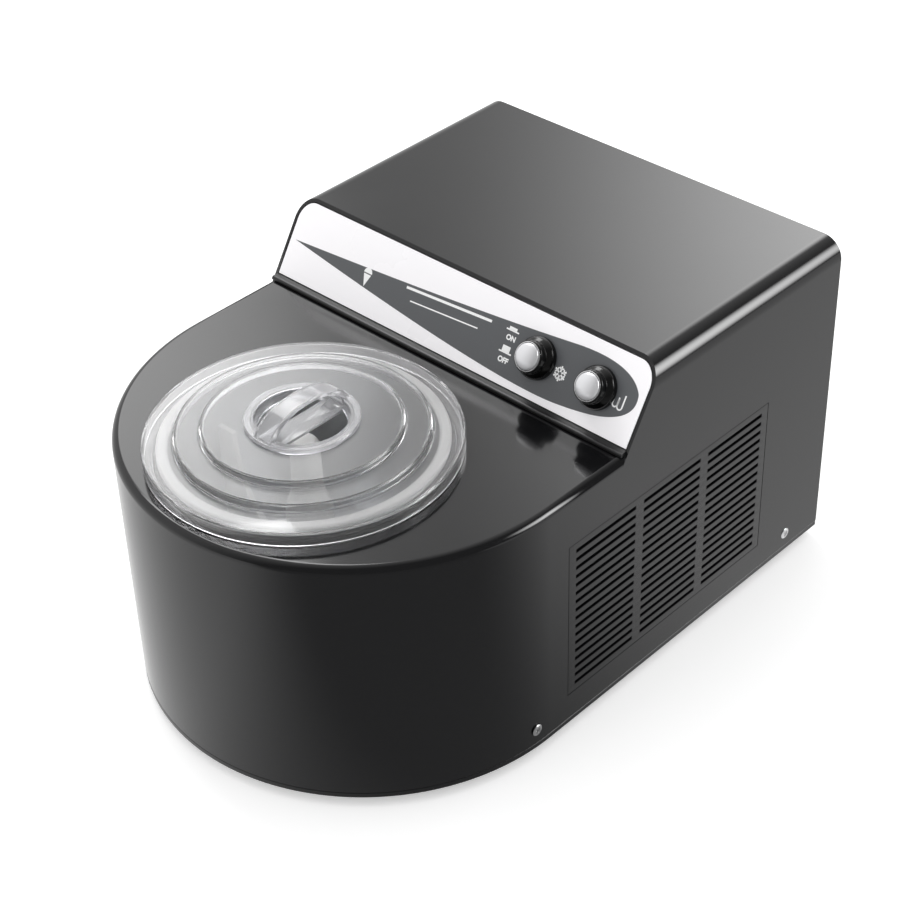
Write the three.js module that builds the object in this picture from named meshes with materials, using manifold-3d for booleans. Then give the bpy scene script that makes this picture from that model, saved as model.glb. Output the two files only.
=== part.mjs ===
// Countertop ice-cream maker with its own compressor: a round bowl under a clear lid at the front,
// a sloped control fascia, and a refrigeration and drive compartment behind.
// Millimetres, +Z up. Origin on the bench at the middle of the overall box. The front looks along -Y.
import * as THREE from 'three';
import { mergeVertices } from 'three/addons/utils/BufferGeometryUtils.js';
import Module from 'manifold-3d';

const wasm = await Module();
wasm.setup();

// ---------- driving dimensions ----------
const gap = 0.3; // clearance between pieces that touch on the real machine
const bodyWidth = 290;
const bodyDepth = 413;
const bodyHeight = 227; // bench to the top of the housing
const deckHeight = 178.5; // bench to the deck around the lid
const footHeight = 8;
const footRadius = 11;
const footInsetSide = 40;
const footInsetRear = 34;
const footFrontSpread = 74; // half the distance between the two front feet
const wall = 2; // housing sheet
const baseRimHeight = 3.6;
const baseUpstandHeight = 14;
const deckEdgeRadius = 5;
const topEdgeRadius = 14;
const fasciaToeSetback = 210; // front of the machine to the foot of the fascia
const fasciaLean = 32.4; // degrees back from upright

const bowlAxisSetback = 99; // front of the machine to the bowl axis
const bowlInnerRadius = 77.5;
const bowlWall = 1.5;
const potFloorHeight = 61.6; // bench to the underside of the pot, over the drive
const potClearance = 2; // radial room between the bowl and the fixed pot
const potWall = 1.4;
const deckHoleClearance = 4;
const coilTubeRadius = 3;
const coilSlack = 1.6; // the coil's straight chords stay outside the pot by this much more
const coilTurns = 4;
const jacketWall = 4;

const lidRadius = 92;
const lidWall = 2;
const lidSkirtHeight = 8.7;
const lidStepOneRadius = 73.5;
const lidStepOneRise = 5;
const lidStepTwoRadius = 58.3;
const lidStepTwoRise = 4.2;
const insertRadius = 33.4;
const insertBodyRadius = 29.5;
const handleWidth = 13;
const handleArch = 13;
const handleThickness = 4;

const shaftRadius = 6;
const bowlTubeDrop = 54; // rim of the bowl down to the top of its middle tube
const bladeDrop = 26; // rim of the bowl down to the top of the paddle's blades
const paddleSweepClearance = 2;

const ventFrontMargin = 16; // behind the front's half round
const ventRearMargin = 66;
const ventBottom = 30.6;
const ventTopMargin = 35.4; // below the deck
const ventColumns = 3;
const ventRows = 17;
const ventSlotHeight = 2.5;
const ventBar = 7.5; // solid bar between two columns
const ventLand = 6.5; // solid border round the slots

const buttonPositions = [65.8, 111];
const buttonUp = 28.5; // along the slope, from the foot of the fascia
const buttonRadius = 8;
const buttonTravel = 3; // the pressed cap is level with its collar
const collarRadius = 13;
const collarHeight = 11.4;

const compressorRadius = 54;
const compressorHeight = 128;
const motorRadius = 23;
const fanRadius = 50;
const fanShaftRadius = 3;

// ---------- places worked out from the sizes ----------
const frontY = -bodyDepth / 2;
const backY = bodyDepth / 2;
const sideX = bodyWidth / 2;
const arcY = frontY + sideX;
const bowlY = frontY + bowlAxisSetback;
const toeY = frontY + fasciaToeSetback;
const leanRadians = THREE.MathUtils.degToRad(fasciaLean);
const sinLean = Math.sin(leanRadians);
const cosLean = Math.cos(leanRadians);
const slopeLength = (bodyHeight - deckHeight) / cosLean;
const crestY = toeY + slopeLength * sinLean;
const baseTop = footHeight + baseRimHeight;
const floorZ = baseTop + gap; // what stands on the base tray starts here
const bowlOuterRadius = bowlInnerRadius + bowlWall;
const potInnerRadius = bowlOuterRadius + potClearance;
const potOuterRadius = potInnerRadius + potWall;
const deckHoleRadius = potOuterRadius + deckHoleClearance;
const potFloorZ = potFloorHeight;
const bowlDepth = deckHeight - potFloorZ - potWall - potClearance - bowlWall; // rim to the inside floor
const coilRadius = potOuterRadius + gap + coilTubeRadius + coilSlack;
const jacketInnerRadius = coilRadius + coilTubeRadius + 3 * gap;
const jacketOuterRadius = jacketInnerRadius + jacketWall;

// ---------- roundness: flats round a full turn ----------
const largeRound = 28; // lid, bowl and pot
const middleRound = 18;
const smallRound = 10; // screws, feet, grommets
const halfPlanFlats = 14; // half of the flats round the front half circle

// ---------- materials ----------
function finish(color, roughness, metalness, extra = {}) {
  return new THREE.MeshStandardMaterial({ color, roughness, metalness, ...extra });
}
const blackShell = () => finish(0x1b1b1d, 0.25, 0);
const blackTrim = () => finish(0x121213, 0.45, 0);
const clearPlastic = () => finish(0xe9edf0, 0.08, 0, { transparent: true, opacity: 0.45 });
const whitePlastic = () => finish(0xf2f2ee, 0.4, 0);
const silverLabel = () => finish(0xe6e5e8, 0.3, 0.2);
const steel = () => finish(0xb9bcc0, 0.3, 1);
const aluminium = () => finish(0xc9cbcd, 0.35, 1);
const copper = () => finish(0xb87333, 0.35, 1);
const rubber = () => finish(0x161616, 0.9, 0);
const foam = () => finish(0xd9d4c8, 0.95, 0);
const blackEnamel = () => finish(0x202022, 0.4, 0.3);
const greyPlastic = () => finish(0x8b8d90, 0.5, 0);

// ---------- geometry helpers ----------
function solid(geometry) {
  const bare = geometry.clone();
  bare.deleteAttribute('normal');
  bare.deleteAttribute('uv');
  const merged = mergeVertices(bare, 1e-4);
  const body = new wasm.Manifold(
    new wasm.Mesh({
      numProp: 3,
      vertProperties: new Float32Array(merged.attributes.position.array),
      triVerts: new Uint32Array(merged.index.array),
    }),
  );
  return body.volume() < 0 ? solid(turnedInsideOut(merged)) : body;
}

// A profile drawn the other way round gives faces that point in, and this turns them out.
function turnedInsideOut(geometry) {
  const flipped = geometry.clone();
  const corners = flipped.index.array;
  for (let i = 0; i < corners.length; i += 3) {
    [corners[i], corners[i + 1]] = [corners[i + 1], corners[i]];
  }
  return flipped;
}

function joinAll(...parts) {
  return parts.reduce((whole, part) => whole.add(part));
}

function cutAll(body, tools) {
  return tools.reduce((left, tool) => left.subtract(tool), body);
}

function geometryOf(body) {
  const mesh = body.getMesh();
  const geometry = new THREE.BufferGeometry();
  geometry.setAttribute('position', new THREE.BufferAttribute(new Float32Array(mesh.vertProperties), 3));
  geometry.setIndex(new THREE.BufferAttribute(new Uint32Array(mesh.triVerts), 1));
  geometry.computeVertexNormals();
  return geometry;
}

const machine = new THREE.Group();

function place(name, shape, material) {
  const geometry = shape.isBufferGeometry ? shape : geometryOf(shape);
  const mesh = new THREE.Mesh(geometry, material);
  mesh.name = name;
  machine.add(mesh);
  return mesh;
}

function box(x0, x1, y0, y1, z0, z1) {
  const geometry = new THREE.BoxGeometry(x1 - x0, y1 - y0, z1 - z0);
  geometry.translate((x0 + x1) / 2, (y0 + y1) / 2, (z0 + z1) / 2);
  return solid(geometry);
}

// Box between two values each way, in either order.
function boxBetween(xs, ys, zs) {
  const [x, y, z] = [xs, ys, zs].map((pair) => [Math.min(...pair), Math.max(...pair)]);
  return box(...x, ...y, ...z);
}

// Upright solid of revolution about the axis through (x, y), from [radius, height] points.
function turned(points, x, y, segments = middleRound) {
  const profile = points.map(([radius, height]) => new THREE.Vector2(radius, height));
  const geometry = new THREE.LatheGeometry(profile, segments);
  geometry.rotateX(Math.PI / 2);
  geometry.translate(x, y, 0);
  return solid(geometry);
}

function tubeRing(innerRadius, outerRadius, z0, z1, x, y, segments = middleRound) {
  const corners = [[innerRadius, z0], [outerRadius, z0], [outerRadius, z1], [innerRadius, z1]];
  return turned([...corners, corners[0]], x, y, segments);
}

function disc(radius, z0, z1, x, y, segments = middleRound) {
  return turned([[0, z0], [radius, z0], [radius, z1], [0, z1]], x, y, segments);
}

// Shape in X and Y, raised from z0 to z1.
function upright(shape, z0, z1, curveSegments = halfPlanFlats) {
  const geometry = new THREE.ExtrudeGeometry(shape, { depth: z1 - z0, bevelEnabled: false, curveSegments });
  geometry.translate(0, 0, z0);
  return solid(geometry);
}

// Shape drawn in X and Z, run from y0 to y1.
function alongY(shape, y0, y1, curveSegments = 3) {
  const geometry = new THREE.ExtrudeGeometry(shape, { depth: y1 - y0, bevelEnabled: false, curveSegments });
  geometry.rotateX(Math.PI / 2);
  geometry.translate(0, y1, 0);
  return solid(geometry);
}

// Shape drawn in Y and Z, run from x0 to x1.
function alongX(shape, x0, x1, curveSegments = 4) {
  const geometry = new THREE.ExtrudeGeometry(shape, { depth: x1 - x0, bevelEnabled: false, curveSegments });
  const cycle = new THREE.Matrix4().makeBasis(
    new THREE.Vector3(0, 1, 0),
    new THREE.Vector3(0, 0, 1),
    new THREE.Vector3(1, 0, 0),
  );
  geometry.applyMatrix4(cycle);
  geometry.translate(x0, 0, 0);
  return solid(geometry);
}

function outline(points) {
  return new THREE.Shape(points.map(([a, b]) => new THREE.Vector2(a, b)));
}

// Round bar of a given radius swept along a list of points, bends smoothed.
function sweptBar(points, radius, steps) {
  const path = new THREE.CatmullRomCurve3(points.map((p) => new THREE.Vector3(...p)), false, 'centripetal');
  const section = new THREE.Shape();
  section.absarc(0, 0, radius, 0, Math.PI * 2);
  const options = { steps, extrudePath: path, bevelEnabled: false, curveSegments: 3 };
  return new THREE.ExtrudeGeometry(section, options);
}

// Solid of revolution about an axis along X, at height z and depth y.
function turnedAboutX(points, y, z, segments = middleRound) {
  const profile = points.map(([radius, x]) => new THREE.Vector2(radius, x));
  const geometry = new THREE.LatheGeometry(profile, segments);
  geometry.rotateZ(-Math.PI / 2);
  geometry.translate(0, y, z);
  return solid(geometry);
}

// Solid of revolution about an axis along Y, at x and height z.
function turnedAboutY(points, x, z, segments = smallRound) {
  const profile = points.map(([radius, y]) => new THREE.Vector2(radius, y));
  const geometry = new THREE.LatheGeometry(profile, segments);
  geometry.translate(x, 0, z);
  return solid(geometry);
}

// The fascia's own frame: across, up the slope from its foot, and out from its face.
const slopeFrame = new THREE.Matrix4()
  .makeBasis(
    new THREE.Vector3(1, 0, 0),
    new THREE.Vector3(0, sinLean, cosLean),
    new THREE.Vector3(0, -cosLean, sinLean),
  )
  .setPosition(0, toeY, deckHeight);

function onSlope(geometry) {
  geometry.applyMatrix4(slopeFrame);
  return solid(geometry);
}

// Disc-like turned piece standing out of the fascia at (across, up), from [radius, out] points.
function turnedOnSlope(points, across, up, segments = 20) {
  const profile = points.map(([radius, out]) => new THREE.Vector2(radius, out));
  const geometry = new THREE.LatheGeometry(profile, segments);
  geometry.rotateX(Math.PI / 2);
  geometry.translate(across, up, 0);
  return onSlope(geometry);
}

function slopeBox(x0, x1, up0, up1, out0, out1) {
  const geometry = new THREE.BoxGeometry(x1 - x0, up1 - up0, out1 - out0);
  geometry.translate((x0 + x1) / 2, (up0 + up1) / 2, (out0 + out1) / 2);
  return onSlope(geometry);
}

// ---------- housing ----------
// Plan of the machine: half round at the front, square at the back.
function planShape(inset, backExtra = 0) {
  const half = sideX - inset;
  const shape = new THREE.Shape();
  shape.moveTo(half, backY - inset + backExtra);
  shape.lineTo(-half, backY - inset + backExtra);
  shape.lineTo(-half, arcY);
  shape.absarc(0, arcY, half, Math.PI, Math.PI * 2, false);
  shape.lineTo(half, backY - inset + backExtra);
  return shape;
}

// The low front part of the machine, with its rounded deck edge.
function lowBody(inset, bottom, backExtra) {
  const radius = deckEdgeRadius - inset;
  const top = deckHeight - inset;
  const geometry = new THREE.ExtrudeGeometry(planShape(inset, backExtra), {
    depth: top - bottom - radius,
    bevelEnabled: true,
    bevelThickness: radius,
    bevelSize: radius,
    bevelOffset: -radius,
    bevelSegments: 3,
    curveSegments: halfPlanFlats,
  });
  geometry.translate(0, 0, bottom);
  const keep = box(-bodyWidth, bodyWidth, -bodyDepth, bodyDepth, bottom, bodyHeight);
  return solid(geometry).intersect(keep);
}

// Cross-section of the tall rear part in X and Z.
function towerShape(inset, bottom) {
  const half = sideX - inset;
  const top = bodyHeight - inset;
  const radius = topEdgeRadius - inset;
  const shape = new THREE.Shape();
  shape.moveTo(half, bottom);
  shape.lineTo(half, top - radius);
  shape.absarc(half - radius, top - radius, radius, 0, Math.PI / 2, false);
  shape.lineTo(radius - half, top);
  shape.absarc(radius - half, top - radius, radius, Math.PI / 2, Math.PI, false);
  shape.lineTo(-half, bottom);
  return shape;
}

function housingShell() {
  const bottom = baseTop + gap;
  const tower = alongY(towerShape(0, bottom), toeY - 5, backY).intersect(
    alongX(
      outline([
        [backY, bottom],
        [toeY, bottom],
        [toeY, deckHeight],
        [crestY, bodyHeight],
        [backY, bodyHeight],
      ]),
      -sideX,
      sideX,
    ),
  );
  const towerHollow = alongY(towerShape(wall, bottom - 5), toeY - 40, backY + 10).intersect(
    alongX(
      outline([
        [backY + 10, bottom - 5],
        [toeY + 3, bottom - 5],
        [toeY + 3, deckHeight],
        [toeY - 40, deckHeight],
        [toeY - 40, bodyHeight + 5],
        [backY + 10, bodyHeight + 5],
      ]),
      -sideX,
      sideX,
    ),
  );
  const shell = lowBody(0, bottom, 0).add(tower);
  const tools = [
    lowBody(wall, bottom - 5, 10),
    towerHollow,
    disc(deckHoleRadius, deckHeight - 10, deckHeight + 10, 0, bowlY, largeRound),
    ...[-1, 1].map((side) => sideOpening(side)),
    ...[-1, 1].flatMap((side) => sideScrewPlaces().map(([y, z]) => sideScrewHole(side, y, z))),
  ];
  return cutAll(shell, tools);
}

const ventFrontY = arcY + ventFrontMargin;
const ventRearY = backY - ventRearMargin;
const ventTop = deckHeight - ventTopMargin;
const ventHeight = ventTop - ventBottom;

function sideOpening(side) {
  const x0 = side > 0 ? sideX - wall - 5 : -sideX - 5;
  return box(x0, x0 + wall + 10, ventFrontY, ventRearY, ventBottom, ventTop);
}

function ventGrille(side) {
  const across = (depthFromOutside) => side * (sideX - depthFromOutside);
  const plank = (near, far, y0, y1, z0, z1) => boxBetween([across(near), across(far)], [y0, y1], [z0, z1]);
  const flange = 4;
  const face = plank(0, wall + gap + 1, ventFrontY + gap, ventRearY - gap, ventBottom + gap, ventTop - gap);
  const back = plank(
    wall + gap, wall + gap + 1.6, ventFrontY - flange, ventRearY + flange, ventBottom - flange,
    ventTop + flange,
  );
  const columnWidth = (ventRearY - ventFrontY - 2 * ventLand - (ventColumns - 1) * ventBar) / ventColumns;
  const pitch = ventHeight / (ventRows + 1);
  const slots = [];
  for (let column = 0; column < ventColumns; column += 1) {
    const y0 = ventFrontY + ventLand + column * (columnWidth + ventBar);
    for (let row = 1; row <= ventRows; row += 1) {
      const z = ventBottom + row * pitch;
      slots.push(plank(-5, wall + 12, y0, y0 + columnWidth, z - ventSlotHeight / 2, z + ventSlotHeight / 2));
    }
  }
  return face.add(back).subtract(wasm.Manifold.union(slots));
}

const screwShankRadius = 2;
const screwHeadRadius = 3.8;
const sideScrewFrontLead = 11; // ahead of where the side wall starts to curve
const sideScrewRearMargin = 36;
const sideScrewZ = 22.5;

function sideScrewPlaces() {
  return [[arcY - sideScrewFrontLead, sideScrewZ], [backY - sideScrewRearMargin, sideScrewZ]];
}

function sideScrewHole(side, y, z) {
  return turnedAboutX(
    [[0, side * (sideX - 30)], [screwShankRadius + gap, side * (sideX - 30)],
      [screwShankRadius + gap, side * (sideX + 5)], [0, side * (sideX + 5)]],
    y, z, smallRound,
  );
}

function sideScrew(side, y, z) {
  const at = (depth) => side * (sideX - depth);
  const head = [[0, at(8)], [screwShankRadius, at(8)], [screwShankRadius, at(-gap)],
    [screwHeadRadius, at(-gap)], [screwHeadRadius - 0.7, at(-0.9)], [0, at(-0.9)]];
  return turnedAboutX(head, y, z, smallRound);
}

// ---------- base ----------
function baseTray() {
  const plate = upright(planShape(0), footHeight, baseTop);
  const upstandOuter = upright(planShape(wall + gap), baseTop - 1, baseTop + baseUpstandHeight);
  const upstandInner = upright(planShape(wall + gap + 1.6), baseTop - 2, baseTop + baseUpstandHeight + 5);
  const ring = upstandOuter.subtract(upstandInner);
  const gateTop = baseTop + baseUpstandHeight + 5;
  const rearGate = box(-sideX, sideX, backY - wall - gap - 6, backY + 5, baseTop, gateTop);
  const slots = [];
  for (let row = 0; row < 6; row += 1) {
    const y = ventFrontY + 20 + row * 18;
    slots.push(box(sideX - 95, sideX - 20, y, y + 6, footHeight - 5, baseTop + 5));
  }
  const screwHoles = [-1, 1].flatMap((side) => sideScrewPlaces().map(([y, z]) => sideScrewHole(side, y, z)));
  return cutAll(plate.add(ring.subtract(rearGate)), [...slots, ...screwHoles]);
}

function footPlaces() {
  return [
    ['front_right', footFrontSpread, frontY + 60],
    ['front_left', -footFrontSpread, frontY + 60],
    ['rear_right', sideX - footInsetSide, backY - footInsetRear],
    ['rear_left', footInsetSide - sideX, backY - footInsetRear],
  ];
}

function foot(x, y) {
  const top = footHeight - gap;
  return turned(
    [[0, 1.5], [4, 1.5], [4, 0], [footRadius - 1.5, 0], [footRadius - 0.5, 1.2], [footRadius, top], [0, top]],
    x, y, smallRound,
  );
}

// ---------- rear panel ----------
const rearPanelY0 = backY - 3.6;
const rearPanelY1 = backY - 1.6;
const inletX = -88;
const inletZ = 44;
const inletHalfWidth = 13.7;
const inletHalfHeight = 10;

function rearScrewPlaces() {
  const low = baseTop + 14;
  const high = bodyHeight - 22;
  return [['low_left', 16 - sideX, low], ['low_right', sideX - 16, low],
    ['high_left', 16 - sideX, high], ['high_right', sideX - 16, high]];
}

function rearPanel() {
  const sheet = alongY(towerShape(wall + gap, baseTop + 2 * gap), rearPanelY0, rearPanelY1);
  const tools = [
    box(inletX - inletHalfWidth - gap, inletX + inletHalfWidth + gap, backY - 20, backY + 5,
      inletZ - inletHalfHeight - gap, inletZ + inletHalfHeight + gap),
  ];
  for (const x0 of [-84, 6]) {
    for (let row = 0; row < 8; row += 1) {
      const z = 92 + row * 12;
      tools.push(box(x0, x0 + 78, backY - 20, backY + 5, z, z + 3));
    }
  }
  for (const [, x, z] of rearScrewPlaces()) {
    tools.push(turnedAboutY(
      [[0, backY - 30], [screwShankRadius + gap, backY - 30], [screwShankRadius + gap, backY + 5],
        [0, backY + 5]],
      x, z, smallRound,
    ));
  }
  return cutAll(sheet, tools);
}

function rearScrew(x, z) {
  const face = rearPanelY1 + gap;
  return turnedAboutY(
    [[0, rearPanelY0 - 6], [screwShankRadius, rearPanelY0 - 6], [screwShankRadius, face],
      [screwHeadRadius, face], [screwHeadRadius - 0.6, face + 1], [0, face + 1]],
    x, z, smallRound,
  );
}

function powerInlet() {
  const front = rearPanelY1 + gap;
  const flange = box(inletX - inletHalfWidth - 5, inletX + inletHalfWidth + 5, front, front + 1,
    inletZ - inletHalfHeight - 2.5, inletZ + inletHalfHeight + 2.5);
  const body = box(inletX - inletHalfWidth, inletX + inletHalfWidth, backY - 28, front + 0.5,
    inletZ - inletHalfHeight, inletZ + inletHalfHeight);
  const recess = box(inletX - inletHalfWidth + 2, inletX + inletHalfWidth - 2, backY - 20, backY + 5,
    inletZ - inletHalfHeight + 2, inletZ + inletHalfHeight - 2);
  const pins = [-7, 0, 7].map((dx, i) => box(inletX + dx - 1, inletX + dx + 1, backY - 21, backY - 6,
    inletZ - 2 + (i === 1 ? 2.5 : -1), inletZ + 2 + (i === 1 ? 2.5 : -1)));
  return joinAll(flange.add(body).subtract(recess), ...pins);
}

// ---------- control fascia ----------
const panelFace = -0.8; // the panel lies this far behind the housing's sloped edge
const panelBack = panelFace - 2.5;
const lipReach = 3;
const lipHeight = 2.6;
const lipEndInset = 1.5; // the lip stops short of the machine's sides by this much

function buttonHoles(clearance) {
  const radius = buttonRadius + clearance;
  const profile = [[0, -20], [radius, -20], [radius, 20], [0, 20]];
  return buttonPositions.map((across) => turnedOnSlope(profile, across, buttonUp));
}

function controlFascia() {
  const slab = alongX(
    outline([
      [toeY - 20, deckHeight + gap],
      [toeY + 40, deckHeight + gap],
      [toeY + 80, bodyHeight + 20],
      [toeY - 20, bodyHeight + 20],
    ]),
    -sideX, sideX,
  );
  const profile = alongY(towerShape(wall + gap, deckHeight - 20), toeY - 30, crestY + 30);
  const sheet = slopeBox(-sideX, sideX, -5, slopeLength + 5, panelBack, panelFace);
  const panel = sheet.intersect(profile).intersect(slab);
  const lipSection = new THREE.Shape();
  const lipBottom = deckHeight + gap;
  const backAt = (z) => toeY + (z - deckHeight) * Math.tan(leanRadians) - gap / cosLean;
  lipSection.moveTo(backAt(lipBottom), lipBottom);
  const lipFront = toeY - lipReach;
  lipSection.lineTo(lipFront, lipBottom);
  lipSection.quadraticCurveTo(lipFront - 1, lipBottom + lipHeight, lipFront + 1.6, lipBottom + lipHeight);
  lipSection.lineTo(backAt(lipBottom + lipHeight), lipBottom + lipHeight);
  const lip = alongX(lipSection, lipEndInset - sideX, sideX - lipEndInset);
  const webInner = alongX(
    outline([
      [backAt(lipBottom) - 0.5, lipBottom],
      [backAt(lipBottom) + 3, lipBottom],
      [backAt(lipBottom + lipHeight) + 3, lipBottom + lipHeight],
      [backAt(lipBottom + lipHeight) - 0.5, lipBottom + lipHeight],
    ]),
    wall + gap - sideX, sideX - wall - gap,
  );
  return cutAll(joinAll(panel, lip, webInner), buttonHoles(0.7));
}

function fasciaLabel() {
  const bottom = (lipHeight + 2 * gap) / cosLean + gap;
  const band = slopeBox(-sideX, sideX, bottom, slopeLength + 5, panelFace + gap, 0);
  const profile = alongY(towerShape(wall + gap, deckHeight - 20), toeY - 30, crestY + 30);
  return cutAll(band.intersect(profile), buttonHoles(0.9));
}

function buttonCollar(across) {
  const hole = buttonRadius + 0.4;
  const neck = buttonRadius + 1.8;
  const points = [
    [hole, gap], [collarRadius, gap], [collarRadius, 2.4], [collarRadius - 0.6, 4], [collarRadius - 2, 5.6],
    [neck + 0.1, 6.4], [neck, collarHeight - 0.5], [neck - 0.5, collarHeight], [hole, collarHeight],
    [hole, gap],
  ];
  return turnedOnSlope(points, across, buttonUp);
}

function pushButton(across) {
  const capTop = collarHeight + buttonTravel;
  const points = [
    [0, -14], [2.6, -14], [2.6, -4], [buttonRadius, -4], [buttonRadius, capTop - 1.4],
    [buttonRadius - 0.8, capTop - 0.6], [buttonRadius / 2, capTop - 0.1], [0, capTop],
  ];
  return turnedOnSlope(points, across, buttonUp);
}

function switchBody(across) {
  const half = 10.5;
  const front = panelBack - gap;
  const body = slopeBox(across - half, across + half, buttonUp - half, buttonUp + half, front - 24, front);
  const bore = turnedOnSlope(
    [[0, -19], [3.2, -19], [3.2, -6 - buttonTravel], [buttonRadius + 0.7, -6 - buttonTravel],
      [buttonRadius + 0.7, 5], [0, 5]],
    across, buttonUp,
  );
  return body.subtract(bore);
}

// ---------- bowl, pot and lid ----------
const bowlRimZ = deckHeight + 3.4;
const bowlTubeTop = bowlRimZ - bowlTubeDrop;
const tubeInner = shaftRadius + 3.4;
const tubeWall = 1.4;

function evaporatorPot() {
  const rim = deckHeight + 1.4;
  const flangeTop = deckHeight - wall - gap;
  const stem = potFloorZ + potWall + 30;
  const shaftHole = shaftRadius + 1;
  return turned([
    [shaftHole, potFloorZ], [potOuterRadius - 6, potFloorZ], [potOuterRadius, potFloorZ + 6],
    [potOuterRadius, flangeTop - 1.5], [deckHoleRadius + 5, flangeTop - 1.5], [deckHoleRadius + 5, flangeTop],
    [potOuterRadius, flangeTop], [potOuterRadius, rim], [potInnerRadius, rim],
    [potInnerRadius, potFloorZ + potWall + 5], [potInnerRadius - 5, potFloorZ + potWall],
    [shaftHole + potWall, potFloorZ + potWall], [shaftHole + potWall, stem], [shaftHole, stem],
    [shaftHole, potFloorZ],
  ], 0, bowlY, largeRound);
}

function deckSeal() {
  const bottom = deckHeight - wall + gap;
  return tubeRing(potOuterRadius + gap, deckHoleRadius - gap, bottom, deckHeight + 1, 0, bowlY, largeRound);
}

function removableBowl() {
  const floor = bowlRimZ - bowlDepth;
  const underside = floor - bowlWall;
  const rimRadius = potOuterRadius + 1.5;
  const tubeOuter = tubeInner + tubeWall;
  return turned([
    [tubeInner, underside], [bowlOuterRadius - 6, underside], [bowlOuterRadius, underside + 6],
    [bowlOuterRadius, bowlRimZ - 1.4], [rimRadius, bowlRimZ - 1.4], [rimRadius, bowlRimZ],
    [bowlInnerRadius, bowlRimZ], [bowlInnerRadius, floor + 5], [bowlInnerRadius - 5, floor],
    [tubeOuter, floor], [tubeOuter, bowlTubeTop], [tubeInner, bowlTubeTop], [tubeInner, underside],
  ], 0, bowlY, largeRound);
}

function bowlRimRing() {
  const bottom = bowlRimZ + gap;
  const inner = bowlInnerRadius - 0.5;
  const outer = potOuterRadius + 1.5;
  return turned([
    [inner, bottom], [outer, bottom], [outer, bottom + 1.2], [outer - 1, bottom + 2.2],
    [bowlInnerRadius + 1, bottom + 2.2], [inner, bottom + 1.2], [inner, bottom],
  ], 0, bowlY, largeRound);
}

const paddleFloorZ = bowlRimZ - bowlDepth + paddleSweepClearance;

function mixingPaddle() {
  const hubInner = tubeInner + tubeWall + 0.8;
  const hubOuter = hubInner + 2.4;
  const capTop = deckHeight + 4;
  const hub = turned([
    [hubInner, paddleFloorZ], [hubOuter + 1, paddleFloorZ], [hubOuter, bowlTubeTop],
    [hubOuter, bowlTubeTop + 6], [shaftRadius + 3.5, bowlTubeTop + 18], [shaftRadius + 2.5, capTop - 3],
    [shaftRadius + 0.5, capTop], [0, capTop], [0, bowlTubeTop + 26], [shaftRadius + gap, bowlTubeTop + 26],
    [shaftRadius + gap, bowlTubeTop + 2], [hubInner, bowlTubeTop + 2], [hubInner, paddleFloorZ],
  ], 0, bowlY);
  const tip = bowlInnerRadius - paddleSweepClearance;
  const bladeTop = bowlRimZ - bladeDrop;
  const near = hubOuter - 1;
  const blades = [1, -1].map((side) => {
    const shape = outline([
      [near, paddleFloorZ], [tip - 5, paddleFloorZ], [tip, paddleFloorZ + 5], [tip, bladeTop],
      [tip - 13, bladeTop], [tip - 16, paddleFloorZ + 16], [near, paddleFloorZ + 22],
    ].map(([r, z]) => [side * r, z]));
    return alongY(shape, bowlY - 2, bowlY + 2);
  });
  return joinAll(hub, ...blades);
}

const lidBottomZ = deckHeight + 0.6;
const lidFlangeZ = lidBottomZ + lidSkirtHeight;
const lidShelfZ = lidFlangeZ + lidStepOneRise;
const lidTopZ = lidShelfZ + lidStepTwoRise;

function clearLid() {
  const t = lidWall;
  return turned([
    [lidRadius, lidBottomZ], [lidRadius, lidFlangeZ - 1], [lidRadius - 1, lidFlangeZ],
    [lidStepOneRadius, lidFlangeZ], [lidStepOneRadius, lidShelfZ - 0.8], [lidStepOneRadius - 0.8, lidShelfZ],
    [lidStepTwoRadius, lidShelfZ], [lidStepTwoRadius, lidTopZ - 0.8], [lidStepTwoRadius - 0.8, lidTopZ],
    [insertBodyRadius + gap, lidTopZ], [insertBodyRadius + gap, lidTopZ - t],
    [lidStepTwoRadius - t, lidTopZ - t], [lidStepTwoRadius - t, lidShelfZ - t],
    [lidStepOneRadius - t, lidShelfZ - t], [lidStepOneRadius - t, lidFlangeZ - t],
    [lidRadius - t, lidFlangeZ - t], [lidRadius - t, lidBottomZ], [lidRadius, lidBottomZ],
  ], 0, bowlY, largeRound);
}

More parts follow.
